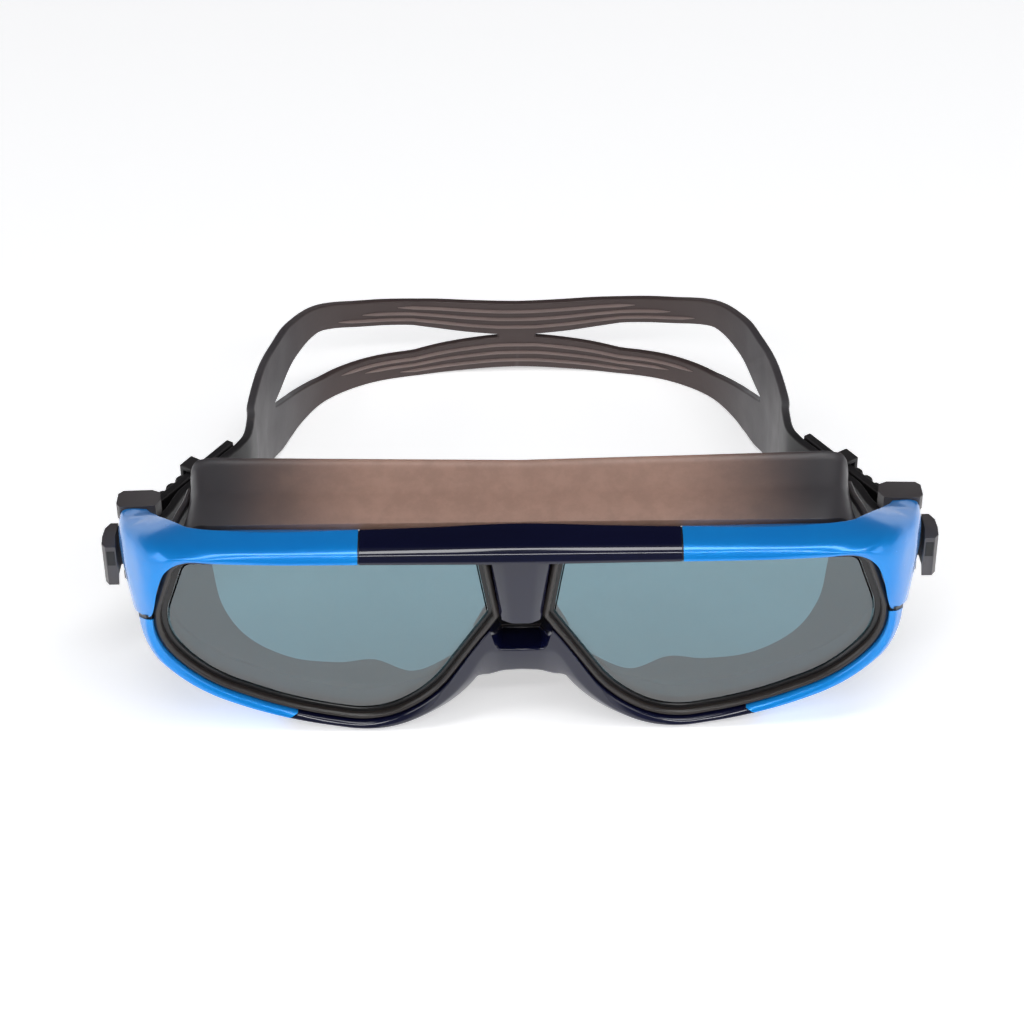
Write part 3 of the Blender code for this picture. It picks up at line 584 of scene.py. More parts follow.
@dataclass
class Palette:
    """Every finish on the goggles, as built materials by slot."""

    effects: Effects
    looks: dict[Slot, Look] = field(default_factory=dict)
    lip: Look | None = None
    border: Look | None = None
    inside: Look | None = None
    rib: Look | None = None

    def __getitem__(self, slot: Slot) -> Look:
        """The look of one slot."""
        return self.looks[slot]

    def build(self) -> "Palette":
        """Make each material once."""
        dark = dict(colour=(0.006, 0.006, 0.007), other=(0.009, 0.008, 0.009), edge_rub_sheen_colour=(0.03, 0.028, 0.028))
        rubber = dict(roughness=0.46, spread=0.10, grain_scale=1100.0, grain_depth=0.02, edge_rub_sheen=0.35)
        finishes = {
            Slot.NAVY: Finish("navy_gloss", (0.0030, 0.004, 0.021), (0.004, 0.005, 0.027),
                              (0.015, 0.017, 0.05), roughness=0.10, spread=0.02, grain_depth=0.001,
                              coat=0.5, edge_rub_sheen=0.2),
            Slot.BLUE: PearlLacquer("blue_pearl", (0.002, 0.285, 0.880), (0.003, 0.315, 0.910),
                                    (0.02, 0.50, 0.98), roughness=0.26, spread=0.03, grain_scale=2600.0,
                                    grain_depth=0.002, coat=0.55, specular=0.25, metallic=0.25, edge_rub_sheen=0.15),
            Slot.BLACK: Finish("black_plastic", (0.070, 0.062, 0.064), (0.082, 0.073, 0.075),
                               (0.16, 0.15, 0.15), roughness=0.42, grain_scale=1800.0, coat=0.15,
                               coat_roughness=0.2, edge_rub_sheen=0.35),
            Slot.STRAP: RubberWithPaintedShade("strap_rubber", (0.052, 0.046, 0.052), (0.062, 0.054, 0.058),
                                   (0.13, 0.11, 0.105), **rubber),
            Slot.SKIRT: ClearedSilicone("skirt_silicone", (0.048, 0.044, 0.048), (0.058, 0.053, 0.057),
                                        (0.11, 0.09, 0.08), roughness=0.38, spread=0.06, grain_scale=700.0,
                                        edge_rub_sheen=0.25),
            Slot.LENS: TintedGlass("lens_tint", (0.095, 0.235, 0.290), (0.100, 0.245, 0.300), (0.2, 0.4, 0.4),
                                   roughness=0.005, coat=1.0),
            Slot.STEEL: Finish("pin_steel", (0.52, 0.53, 0.54), (0.60, 0.60, 0.61), (0.75, 0.75, 0.75),
                               roughness=0.25, grain_scale=2400.0, grain_depth=0.004, metallic=1.0),
        }
        self.looks = {slot: finish.material(self.effects) for slot, finish in finishes.items()}
        self.lip = Finish("gasket_lip", (0.022, 0.017, 0.015), (0.030, 0.024, 0.021), (0.09, 0.08, 0.07),
                          roughness=0.30, spread=0.05, grain_scale=900.0, coat=0.15, coat_roughness=0.2,
                          edge_rub_sheen=0.4).material(self.effects)
        # Near-black ring inside each lens lip: painted shade under the lip.
        self.border = Finish("lens_border", roughness=0.25, grain_depth=0.003, **dark).material(self.effects)
        self.inside = Finish("black_inside", roughness=0.4, **dark).material(self.effects)
        self.rib = Finish("strap_rib", (0.19, 0.135, 0.125), (0.23, 0.165, 0.15), (0.30, 0.24, 0.22),
                          **rubber).material(self.effects)
        return self


# ------------------------------------------------------------------ eye outline

@dataclass(frozen=True)
class EyeOutline:
    """The outline of one lens opening, a filleted polygon that can be moved outwards edge by edge."""

    corners: tuple[Point, ...] = ((6.6, 43.2, 0.8), (68.0, 43.8, 4.6), (74.1, 26.0, 15.3), (64.7, 13.0, 30.8),
                                  (46.7, 4.6, 76.9), (28.8, 0.9, 18.7), (17.3, 7.7, 26.8), (4.3, 28.5, 1.8))
    rim_reach: tuple[float, ...] = (3.1, 3.0, 2.9, 2.7, 2.0, 3.1, 4.5, 1.0)
    arc_steps: int = 10

    def index(self, corner: int, step: int) -> int:
        """Index of one point of the outline."""
        return corner * (self.arc_steps + 1) + step

    def _moved(self, reach: Sequence[float]) -> list[Vector]:
        """Corners with each edge moved outwards by its own reach."""
        count = len(self.corners)
        lines = []
        for i in range(count):
            (x0, z0, _), (x1, z1, _) = self.corners[i], self.corners[(i + 1) % count]
            size = math.hypot(x1 - x0, z1 - z0)
            nx, nz = -(z1 - z0) / size, (x1 - x0) / size
            lines.append((nx, nz, nx * x0 + nz * z0 + reach[i]))
        out = []
        for i in range(count):
            (a, b, e), (c, d, f) = lines[i - 1], lines[i]
            det = a * d - b * c
            out.append(Vector(((e * d - b * f) / det, (a * f - e * c) / det)))
        return out

    def points(self, reach: float | Sequence[float] = 0.0) -> list[tuple[float, float]]:
        """Points (x, z) round the opening.

        Args:
            reach: How far outside the opening, for all edges or edge by edge.

        Returns:
            The same number of points for every reach.
        """
        reach = [reach] * len(self.corners) if isinstance(reach, (int, float)) else list(reach)
        corners = self._moved(reach)
        out = []
        for i, here in enumerate(corners):
            before = corners[i - 1] - here
            after = corners[(i + 1) % len(corners)] - here
            half = before.angle(after) / 2
            radius = max(0.25, self.corners[i][2] + (reach[i - 1] + reach[i]) / 2)
            run = min(radius / math.tan(half), 0.49 * before.length, 0.49 * after.length)
            radius = run * math.tan(half)
            middle = here + (before.normalized() + after.normalized()).normalized() * radius / math.sin(half)
            start = here + before.normalized() * run - middle
            sweep = start.angle_signed(here + after.normalized() * run - middle)
            for k in range(self.arc_steps + 1):
                turn = -sweep * k / self.arc_steps
                out.append((middle.x + start.x * math.cos(turn) - start.y * math.sin(turn),
                            middle.y + start.x * math.sin(turn) + start.y * math.cos(turn)))
        return out

    def side_x(self, outline: Sequence[tuple[float, float]], z: float) -> float:
        """Where the outer side of an outline is at a height."""
        for (x0, z0), (x1, z1) in zip(outline[self.index(2, 0):], outline[self.index(2, 1):]):
            if z0 >= z >= z1:
                return x0 + (x1 - x0) * (z0 - z) / (z0 - z1)
        return outline[self.index(2, 0)][0]

    def top_edge(self, x: float) -> float:
        """Height of the opening's top edge."""
        (x0, z0, _), (x1, z1, _) = self.corners[:2]
        return z0 + (z1 - z0) * (x - x0) / (x1 - x0)


# ------------------------------------------------------------------ upper frame

@dataclass
class UpperFrame:
    """The brow, its bridge plate and the two wings."""

    eye: EyeOutline
    palette: Palette
    height: float = 46.6
    back_q: float = 9.2
    seam_gap: float = 0.3
    path_steps: int = 9
    section_steps: int = 4
    edge_cut: float = 0.25
    rear_cut: float = 0.35
    joint_depth: float = 0.4
    brow_rears: Profile = ((0.0, 8.9), (8.0, 8.6), (16.0, 8.0), (31.2, 7.3))
    brow_face: Profile = ((0.0, 0.15), (0.14, 0.20), (0.36, 0.65), (0.62, 1.5), (0.84, 3.2))
    bridge: tuple[tuple[float, float, float, float], ...] = (
        (44.6, 6.35, 3.0, 0.0), (39.0, 5.6, 2.8, 0.15), (33.0, 4.85, 2.45, 0.15), (27.4, 4.1, 2.0, 0.0))
    bridge_cuts: tuple[float, ...] = (0.5, 0.7, 0.7, 0.5, 0.0, 0.0)
    wing: tuple[tuple[Point, ...], ...] = (
        ((47.0, 43.6, 0.15), (47.0, 44.0, 0.2), (47.0, 44.7, 0.65), (47.0, 45.5, 1.5), (47.0, 46.1, 3.2),
         (47.0, 46.6, 6.8), (47.0, 45.3, 9.2), (47.0, 43.6, 9.2)),
        ((58.0, 43.7, 0.5), (58.4, 44.4, 0.3), (58.8, 45.1, 0.8), (59.2, 45.8, 1.9), (59.0, 46.2, 3.8),
         (58.0, 46.5, 7.6), (58.0, 45.4, 9.2), (58.0, 43.7, 9.2)),
        ((64.6, 43.7, 1.0), (66.1, 44.6, 0.6), (67.2, 45.1, 1.5), (68.5, 45.5, 3.4), (67.4, 45.8, 5.6),
         (64.4, 45.8, 9.7), (65.2, 44.9, 9.7), (65.6, 44.0, 9.2)),
        ((68.6, 41.7, 1.0), (69.9, 42.3, 1.1), (71.3, 43.3, 2.6), (72.0, 44.6, 5.2), (70.8, 45.1, 8.2),
         (67.4, 44.8, 12.6), (69.0, 43.7, 12.0), (70.4, 42.6, 9.3)),
        ((70.6, 37.4, 1.0), (72.8, 38.8, 2.2), (74.3, 41.0, 4.9), (74.8, 43.2, 8.2), (73.2, 43.8, 11.4),
         (69.6, 43.4, 15.6), (71.6, 41.6, 14.6), (73.0, 38.6, 9.3)),
        ((72.4, 30.5, 1.0), (75.0, 34.4, 4.4), (76.6, 38.0, 8.3), (77.2, 41.4, 12.0), (75.3, 42.2, 15.0),
         (71.3, 41.9, 18.3), (73.6, 38.6, 17.4), (74.6, 31.6, 9.6)),
        ((75.3, 28.4, 4.5), (77.0, 32.2, 8.0), (78.1, 36.3, 11.2), (78.3, 40.5, 14.6), (76.4, 41.2, 17.0),
         (72.1, 41.1, 19.8), (74.2, 37.6, 18.8), (75.2, 29.2, 10.6)),
        ((77.2, 25.4, 10.0), (78.3, 30.0, 12.4), (79.1, 35.0, 15.0), (79.2, 39.5, 17.4), (77.2, 40.3, 19.4),
         (72.8, 40.3, 21.2), (74.8, 36.0, 20.6), (75.6, 26.2, 13.0)),
        ((78.6, 23.2, 18.0), (79.6, 28.0, 19.0), (80.3, 33.0, 20.4), (80.1, 37.9, 21.8), (78.2, 39.0, 22.6),
         (73.9, 39.1, 23.4), (75.2, 34.5, 23.2), (76.0, 24.0, 19.5)),
        ((79.5, 21.6, 25.5), (80.4, 26.5, 25.5), (80.9, 31.5, 25.5), (80.4, 36.8, 25.5), (78.7, 38.2, 25.5),
         (74.7, 38.1, 25.5), (75.4, 33.0, 25.5), (76.2, 22.0, 25.5)),
    )

    @property
    def seam(self) -> tuple[float, float]:
        """The brow seam's X and the section's rear edge there."""
        return self.brow_rears[-1]

    def brow_section(self, x: float, rear_q: float) -> Ring:
        """The brow's section at x, from the opening edge over the top to the inner wall."""
        foot = self.eye.top_edge(abs(x))
        top = self.height - foot
        rises = self.brow_face + ((1.0, rear_q), (0.55, self.back_q), (0.0, self.back_q))
        return [(x, foot + top * rise, q) for rise, q in rises]

    def dressed(self, ring: Ring) -> Ring:
        """A section with its outer face smoothed and its two long edges rounded."""
        face = through(ring[:6], self.section_steps)
        cuts = [self.edge_cut] + [0.0] * (len(face) - 2) + [self.rear_cut, 0.0, 0.0]
        return soften(list(face) + list(ring[6:]), cuts)

    def build_brow(self) -> Piece:
        """The navy centre of the upper frame."""
        stations = [(-x, q) for x, q in reversed(self.brow_rears[1:])] + list(self.brow_rears)
        rings = smooth_rings([self.brow_section(x, q) for x, q in stations], self.path_steps)
        return Solid().loft([self.dressed(ring) for ring in rings]).finish(
            "brow_shell", Slot.NAVY, self.palette[Slot.NAVY], ("brow_center",))

    def build_bridge(self) -> Piece:
        """The tapered bridge plate with its flatter centre facet."""
        rings = []
        for z, half, facet, bulge in self.bridge:
            outline = [(-half, 2.4), (-facet, 1.1 - bulge), (facet, 1.1 - bulge), (half, 2.4), (half, 9.1),
                       (-half, 9.1)]
            rings.append(soften([(x, z, q) for x, q in outline], self.bridge_cuts))
        return Solid().loft(smooth_rings(rings, 5)).finish(
            "bridge_plate", Slot.NAVY, self.palette[Slot.NAVY], bevel=0.2)

    def build_seam(self, side: Side) -> Piece:
        """The black joint under one brow seam."""
        seam_x, rear_q = self.seam
        stations = (seam_x - self.joint_depth, seam_x + self.seam_gap + self.joint_depth)
        rings = [mirrored(inset(self.dressed(self.brow_section(x, rear_q))), side) for x in stations]
        return Solid().loft(rings).finish(f"brow_joint_{side.tag}", Slot.BLACK, self.palette.inside)

    def build_wing(self, side: Side) -> Piece:
        """One blue wing, from the brow seam round the lens to the temple."""
        seam_x, rear_q = self.seam
        controls = [self.brow_section(seam_x + self.seam_gap, rear_q)] + [list(ring) for ring in self.wing]
        rings = [mirrored(self.dressed(ring), side) for ring in smooth_rings(controls, self.path_steps)]
        return Solid().loft(rings).finish(
            f"wing_shell_{side.tag}", Slot.BLUE, self.palette[Slot.BLUE], (f"wing_{side.tag}",))

    def build(self) -> list[Piece]:
        """Every piece of the upper frame."""
        made = [self.build_brow(), self.build_bridge()]
        for side in Side:
            made += [self.build_wing(side), self.build_seam(side)]
        return made


# ------------------------------------------------------------------ lower frame

@dataclass
class LowerFrame:
    """The rims under the lenses: two blue ends and the navy middle with its nose arch."""

    eye: EyeOutline
    palette: Palette
    lip_q: float = 1.0
    back_q: float = 9.2
    parting_z: float = 29.6
    parting_fall: float = 0.6
    fade_z: float = 19.6
    flare: float = 1.6
    seam_x: float = 45.0
    seam_gap: float = 0.3
    cuts: tuple[float, ...] = (0.3, 0.7, 0.9, 0.7, 0.1, 0.1)
    ridge_share: float = 0.42
    ridge_q: float = 1.4
    outer_q: float = 1.9
    outer_fall: float = 2.6
    back_fall: float = 0.6
    inner_step: float = 0.55
    flare_run: float = 2.8
    nose: tuple[tuple[Point, ...], ...] = (
        ((8.7, 21.7, 1.2), (7.4, 20.0, 0.7), (6.6, 12.7, 2.6),
         (6.6, 12.7, 9.2), (8.2, 21.0, 9.2), (8.7, 21.7, 9.2)),
        ((6.2, 24.9, 2.0), (4.9, 20.0, 1.6), (4.2, 13.3, 2.8),
         (4.2, 13.3, 9.2), (5.8, 24.3, 9.2), (6.2, 24.9, 9.2)),
        ((3.7, 19.8, 8.2), (3.7, 19.7, 2.2), (3.2, 13.4, 2.9),
         (3.2, 13.4, 9.2), (3.7, 19.4, 9.2), (3.7, 19.8, 9.2)),
        ((0.0, 19.6, 8.2), (0.0, 19.5, 2.5), (0.0, 13.5, 3.0),
         (0.0, 13.5, 9.2), (0.0, 19.2, 9.2), (0.0, 19.6, 9.2)),
    )

    def sections(self) -> list[Ring]:
        """Sections of the right half from the parting under the wing to beside the nose."""
        eye = self.eye
        opening, outer = eye.points(0.0), eye.points(eye.rim_reach)
        pairs = [((eye.side_x(opening, self.parting_z), self.parting_z),
                  (eye.side_x(outer, self.parting_z), self.parting_z))]
        run = slice(eye.index(2, 1), eye.index(6, eye.arc_steps) + 1)
        pairs += [(a, b) for a, b in zip(opening[run], outer[run]) if a[1] < self.parting_z - 0.6]
        out = []
        for i, ((x0, z0), (x1, z1)) in enumerate(pairs):
            size = math.hypot(x1 - x0, z1 - z0)
            ux, uz = (x1 - x0) / size, (z1 - z0) / size
            fade = min(1.0, max(0.0, (z0 - self.fade_z) / (self.parting_z - self.fade_z)))
            flare = self.flare * max(0.0, 1 - i / (self.flare_run * eye.arc_steps))
            ridge, inner = self.ridge_share * size, self.inner_step
            ring = [(x0, z0, self.lip_q), (x0 + ridge * ux, z0 + ridge * uz, self.ridge_q * fade),
                    (x1, z1, self.outer_q + self.outer_fall * fade),
                    (x1 + flare * ux, z1 + flare * uz, self.back_q + self.back_fall * fade),
                    (x0 + inner * ux, z0 + inner * uz, self.back_q), (x0, z0, self.back_q)]
            falls = [fade * self.parting_fall * max(0.0, q - self.lip_q) for _, _, q in ring]
            out.append([(x + eye.side_x(opening, z0 - fall) - eye.side_x(opening, z0) if fade else x,
                         max(0.0, z - fall), q) for (x, z, q), fall in zip(ring, falls)])
        return out

    def runs(self) -> tuple[list[Ring], list[Ring]]:
        """The blue run and the navy run of the right half, parted at the seam."""
        sections = self.sections()
        for i in range(1, len(sections)):
            before, after = sections[i - 1], sections[i]
            if (before[0][0] - self.seam_x) * (after[0][0] - self.seam_x) <= 0:
                ends = []
                for target in (self.seam_x + self.seam_gap / 2, self.seam_x - self.seam_gap / 2):
                    t = (before[0][0] - target) / (before[0][0] - after[0][0])
                    ends.append([tuple(p + (q - p) * t for p, q in zip(a, b)) for a, b in zip(before, after)])
                return sections[:i] + [ends[0]], [ends[1]] + sections[i:]
        return sections, []

    def build_end(self, side: Side) -> Piece:
        """One blue end of the lower rim."""
        blue, _ = self.runs()
        rings = [mirrored(soften(ring, self.cuts), side) for ring in blue]
        return Solid().loft(rings).finish(
            f"rim_shell_{side.tag}", Slot.BLUE, self.palette[Slot.BLUE], (f"rim_end_{side.tag}",))

    def build_parting(self, side: Side) -> Piece:
        """The black joints inside one blue end: at the parting under the wing and at the navy seam."""
        blue, navy = self.runs()
        solid = Solid()
        top = inset(blue[0], 0.90)
        solid.loft([mirrored([(x, z + lift, q) for x, z, q in top], side) for lift in (-0.5, 0.9)])
        solid.loft([mirrored(inset(ring), side) for ring in (blue[-2], blue[-1], navy[0], navy[1])])
        return solid.finish(f"rim_joint_{side.tag}", Slot.BLACK, self.palette.inside)

    def build_middle(self) -> Piece:
        """The navy middle of the lower frame."""
        _, navy = self.runs()
        arm = smooth_rings([navy[-2], navy[-1]] + [list(ring) for ring in self.nose[:2]], 5)[5:]
        half = navy[:-1] + arm + [list(ring) for ring in self.nose[2:]]
        whole = half + [mirrored(ring, Side.LEFT) for ring in reversed(half[:-1])]
        return Solid().loft([soften(ring, self.cuts) for ring in whole]).finish(
            "lower_shell", Slot.NAVY, self.palette[Slot.NAVY], ("lower_frame",))

    def build(self) -> list[Piece]:
        """Every piece of the lower frame."""
        made = [self.build_middle()]
        for side in Side:
            made += [self.build_end(side), self.build_parting(side)]
        return made


# ------------------------------------------------------------------ lenses

@dataclass
class LensStack:
    """Both lenses with their sealing lips and dark borders of painted shade, and the carrier behind them.

    A profile's reach is scaled edge by edge, because the lip is narrow under the brow and wide at the temple.
    """

    eye: EyeOutline
    palette: Palette
    front_q: float = 3.15
    thickness: float = 2.0
    tuck: float = -1.6
    step: float = 0.3
    shares: tuple[float, ...] = (0.62, 1.0, 0.95, 0.85, 0.8, 0.8, 0.75, 0.75)
    border_reach: float = -2.6
    lip: Profile = (
        (0.15, 2.5), (-0.25, 1.95), (-0.8, 1.55), (-1.35, 1.9), (-1.55, 2.35), (-1.55, 2.95), (-1.35, 5.4),
        (0.15, 5.4))
    lip_cuts: tuple[float, ...] = (0.1, 0.2, 0.35, 0.25, 0.2, 0.0, 0.0, 0.0)
    carrier_span: tuple[float, float] = (5.7, 11.1)
    nose_x: float = 24.0
    nose_z: float = 40.0
    nose_run: float = 8.0
    nose_relief: float = 3.6
    plate: Profile = ((7.4, 43.4), (5.4, 29.0), (9.6, 20.0))
    plate_span: tuple[float, float] = (9.6, 11.0)

    def outline(self, reach: float, side: Side) -> list[tuple[float, float]]:
        """Points round one opening at a reach scaled edge by edge."""
        points = self.eye.points([reach * share for share in self.shares])
        return [(side.value * x, z) for x, z in points]

    def ring(self, section: Sequence[tuple[float, float]], side: Side) -> list[Ring]:
        """Sections round one opening from a profile of (reach, q) points."""
        loops = [self.outline(reach, side) for reach, _ in section]
        return [[(*loop[i], q) for loop, (_, q) in zip(loops, section)] for i in range(len(loops[0]))]

    def build_lens(self, side: Side) -> Piece:
        """One flat pane with a low bevel inside its border."""
        back = self.front_q + self.thickness
        inner = self.border_reach - self.step
        profile = ((inner - self.step, self.front_q), (inner, self.front_q + self.step),
                   (self.tuck, self.front_q + self.step), (self.tuck, back))
        rings = [[(*point, q) for point in self.outline(reach, side)] for reach, q in profile]
        return Solid().loft(rings).finish(
            f"lens_pane_{side.tag}", Slot.LENS, self.palette[Slot.LENS], (f"lens_{side.tag}",),
            sharp=20.0)

    def build_lip(self, side: Side) -> Piece:
        """The soft lip round one lens, rolled over the edge of the frame."""
        rings = [soften(ring, self.lip_cuts) for ring in self.ring(self.lip, side)]
        return Solid().loft(rings, closed=True).finish(
            f"gasket_lip_{side.tag}", Slot.SKIRT, self.palette.lip, (f"lens_gasket_{side.tag}",))

    def build_border(self, side: Side) -> Piece:
        """The dark border between the lip and the clear pane: painted shade, a near-black ring where the
        ledge under the lip lies in shadow.
        """
        section = ((-1.5, 3.0), (self.border_reach, 2.95), (self.border_reach - 0.1, 3.1),
                   (self.border_reach, 3.4), (-1.5, 3.4))
        return Solid().loft(self.ring(section, side), closed=True).finish(
            f"lens_border_{side.tag}", Slot.SKIRT, self.palette.border)

    def build_carrier(self) -> Piece:
        """The black carrier behind both lenses: a ring round each and a plate over the nose."""
        solid = Solid()
        front, rear = self.carrier_span
        for side in Side:
            rings = []
            for ring in self.ring(((0.1, front), (0.1, rear), (-1.5, rear), (-1.5, front)), side):
                x, z, _ = ring[0]
                nose = ease((self.nose_x - abs(x)) / self.nose_run) * ease((self.nose_z - z) / self.nose_run)
                back = rear - self.nose_relief * nose
                rings.append([(x, z, min(q, back)) for x, z, q in ring])
            solid.loft(rings, closed=True)
        plate = list(self.plate) + [(-x, z) for x, z in reversed(self.plate)]
        solid.loft([[(x, z, q) for x, z in plate] for q in self.plate_span])
        return solid.finish("carrier", Slot.BLACK, self.palette.inside, ("inner_frame",), bevel=0.2)

    def build(self) -> list[Piece]:
        """Every piece of the lens stack."""
        made = [self.build_carrier()]
        for side in Side:
            made += [self.build_lens(side), self.build_lip(side), self.build_border(side)]
        return made


# ------------------------------------------------------------------ skirt

@dataclass
class FaceSkirt:
    """The soft wall from the carrier to the face, with a rolled rear lip."""

    palette: Palette
    wall: float = 1.6
    steps: int = 9
    lip: float = 0.35
    line: tuple[tuple[Point, Point], ...] = (
        ((0.0, 46.2, 9.7), (0.0, 50.2, 24.4)), ((30.0, 46.2, 9.7), (30.0, 50.4, 25.0)),
        ((52.0, 46.1, 9.7), (54.0, 50.5, 25.6)), ((59.4, 45.8, 10.0), (61.8, 50.4, 25.8)),
        ((63.6, 44.6, 11.4), (64.7, 48.8, 25.8)), ((67.0, 40.8, 11.6), (65.3, 43.4, 25.8)),
        ((70.3, 33.0, 11.6), (65.0, 34.0, 25.4)), ((71.2, 26.0, 11.6), (64.0, 25.0, 24.6)),
        ((69.0, 19.0, 11.6), (62.2, 15.6, 22.6)), ((62.0, 12.0, 11.6), (57.0, 8.8, 20.0)),
        ((50.0, 6.0, 11.6), (48.0, 4.6, 18.0)), ((38.0, 3.0, 11.6), (38.0, 3.4, 17.5)),
        ((29.0, 2.4, 11.6), (30.0, 4.5, 17.0)), ((20.5, 4.2, 11.6), (21.5, 3.6, 14.4)),
        ((12.2, 9.4, 11.6), (12.4, 9.2, 13.8)), ((6.4, 15.0, 11.6), (6.6, 14.8, 13.8)),
        ((0.0, 17.4, 11.6), (0.0, 17.2, 13.8)),
    )
    neck: float = 1.6
    waist: float = 0.35
    corner_cuts: tuple[float, ...] = (0.15, 0.5, 0.6, 0.5, 0.5, 0.5, 0.4, 0.5, 0.15)
    side_rib: tuple[Point, ...] = ((68.8, 41.0, 13.5), (68.6, 42.0, 15.5), (67.6, 42.6, 18.5),
                                   (66.5, 43.0, 21.5), (65.8, 43.6, 24.5))
    rib_section: Profile = ((-0.55, -1.4), (-0.55, 0.0), (-0.25, 0.3), (0.25, 0.3),
                                                    (0.55, 0.0), (0.55, -1.4))

    def profile(self, front: Vector, rear: Vector, out: Vector) -> Ring:
        """One section of the wall.

        Args:
            front: Outer point at the carrier.
            rear: Outer point at the face.
            out: Unit vector away from the eyes, in the (x, z, q) frame.

        Returns:
            The closed section with its rolled lip.
        """
        thin = out * self.wall
        along = (rear - front).normalized()
        near = rear - along * self.neck
        middle = front.lerp(rear, 0.5) - out * self.waist
        ring = [front, middle, near, rear - along * 0.7 + out * self.lip, rear + out * self.lip * 0.6,
                rear - thin, near - thin, middle - thin * 0.9, front - thin]
        return soften([tuple(point) for point in ring], self.corner_cuts, 2)

    def build_rib(self, side: Side) -> Piece:
        """The thin raised rib along one side of the wall."""
        rings = []
        for x, z, q in through(self.side_rib, 6):
            rings.append([(side.value * (x + dx), z + dz, q) for dx, dz in self.rib_section])
        return Solid().loft(rings).finish(f"skirt_rib_{side.tag}", Slot.SKIRT, self.palette[Slot.SKIRT])

    def build(self) -> list[Piece]:
        """The skirt and its two side ribs."""
        line = [(*front, *rear) for front, rear in self.line]
        half = through(line, self.steps)
        whole = half + [(-x, z, q, -u, w, r) for x, z, q, u, w, r in reversed(half[1:-1])]
        rings = []
        for i, (x, z, q, u, w, r) in enumerate(whole):
            before, after = whole[i - 1], whole[(i + 1) % len(whole)]
            out = Vector((before[1] - after[1], after[0] - before[0], 0.0)).normalized()
            rings.append(self.profile(Vector((x, z, q)), Vector((u, w, r)), out))
        wall = Solid().loft(rings, closed=True).finish(
            "face_skirt", Slot.SKIRT, self.palette[Slot.SKIRT], ("skirt",))
        return [wall] + [self.build_rib(side) for side in Side]


# ------------------------------------------------------------------ strap

@dataclass(frozen=True)
class Column:
    """One upright section of the strap: its place in plan, its outward direction and its four heights."""

    x: float
    q: float
    nx: float
    nq: float
    heights: tuple[float, float, float, float]

    def at(self, z: float, out: float) -> Point:
        """A point at a height, so far outwards from the strap's middle layer."""
        return (self.x + self.nx * out, z, self.q + self.nq * out)


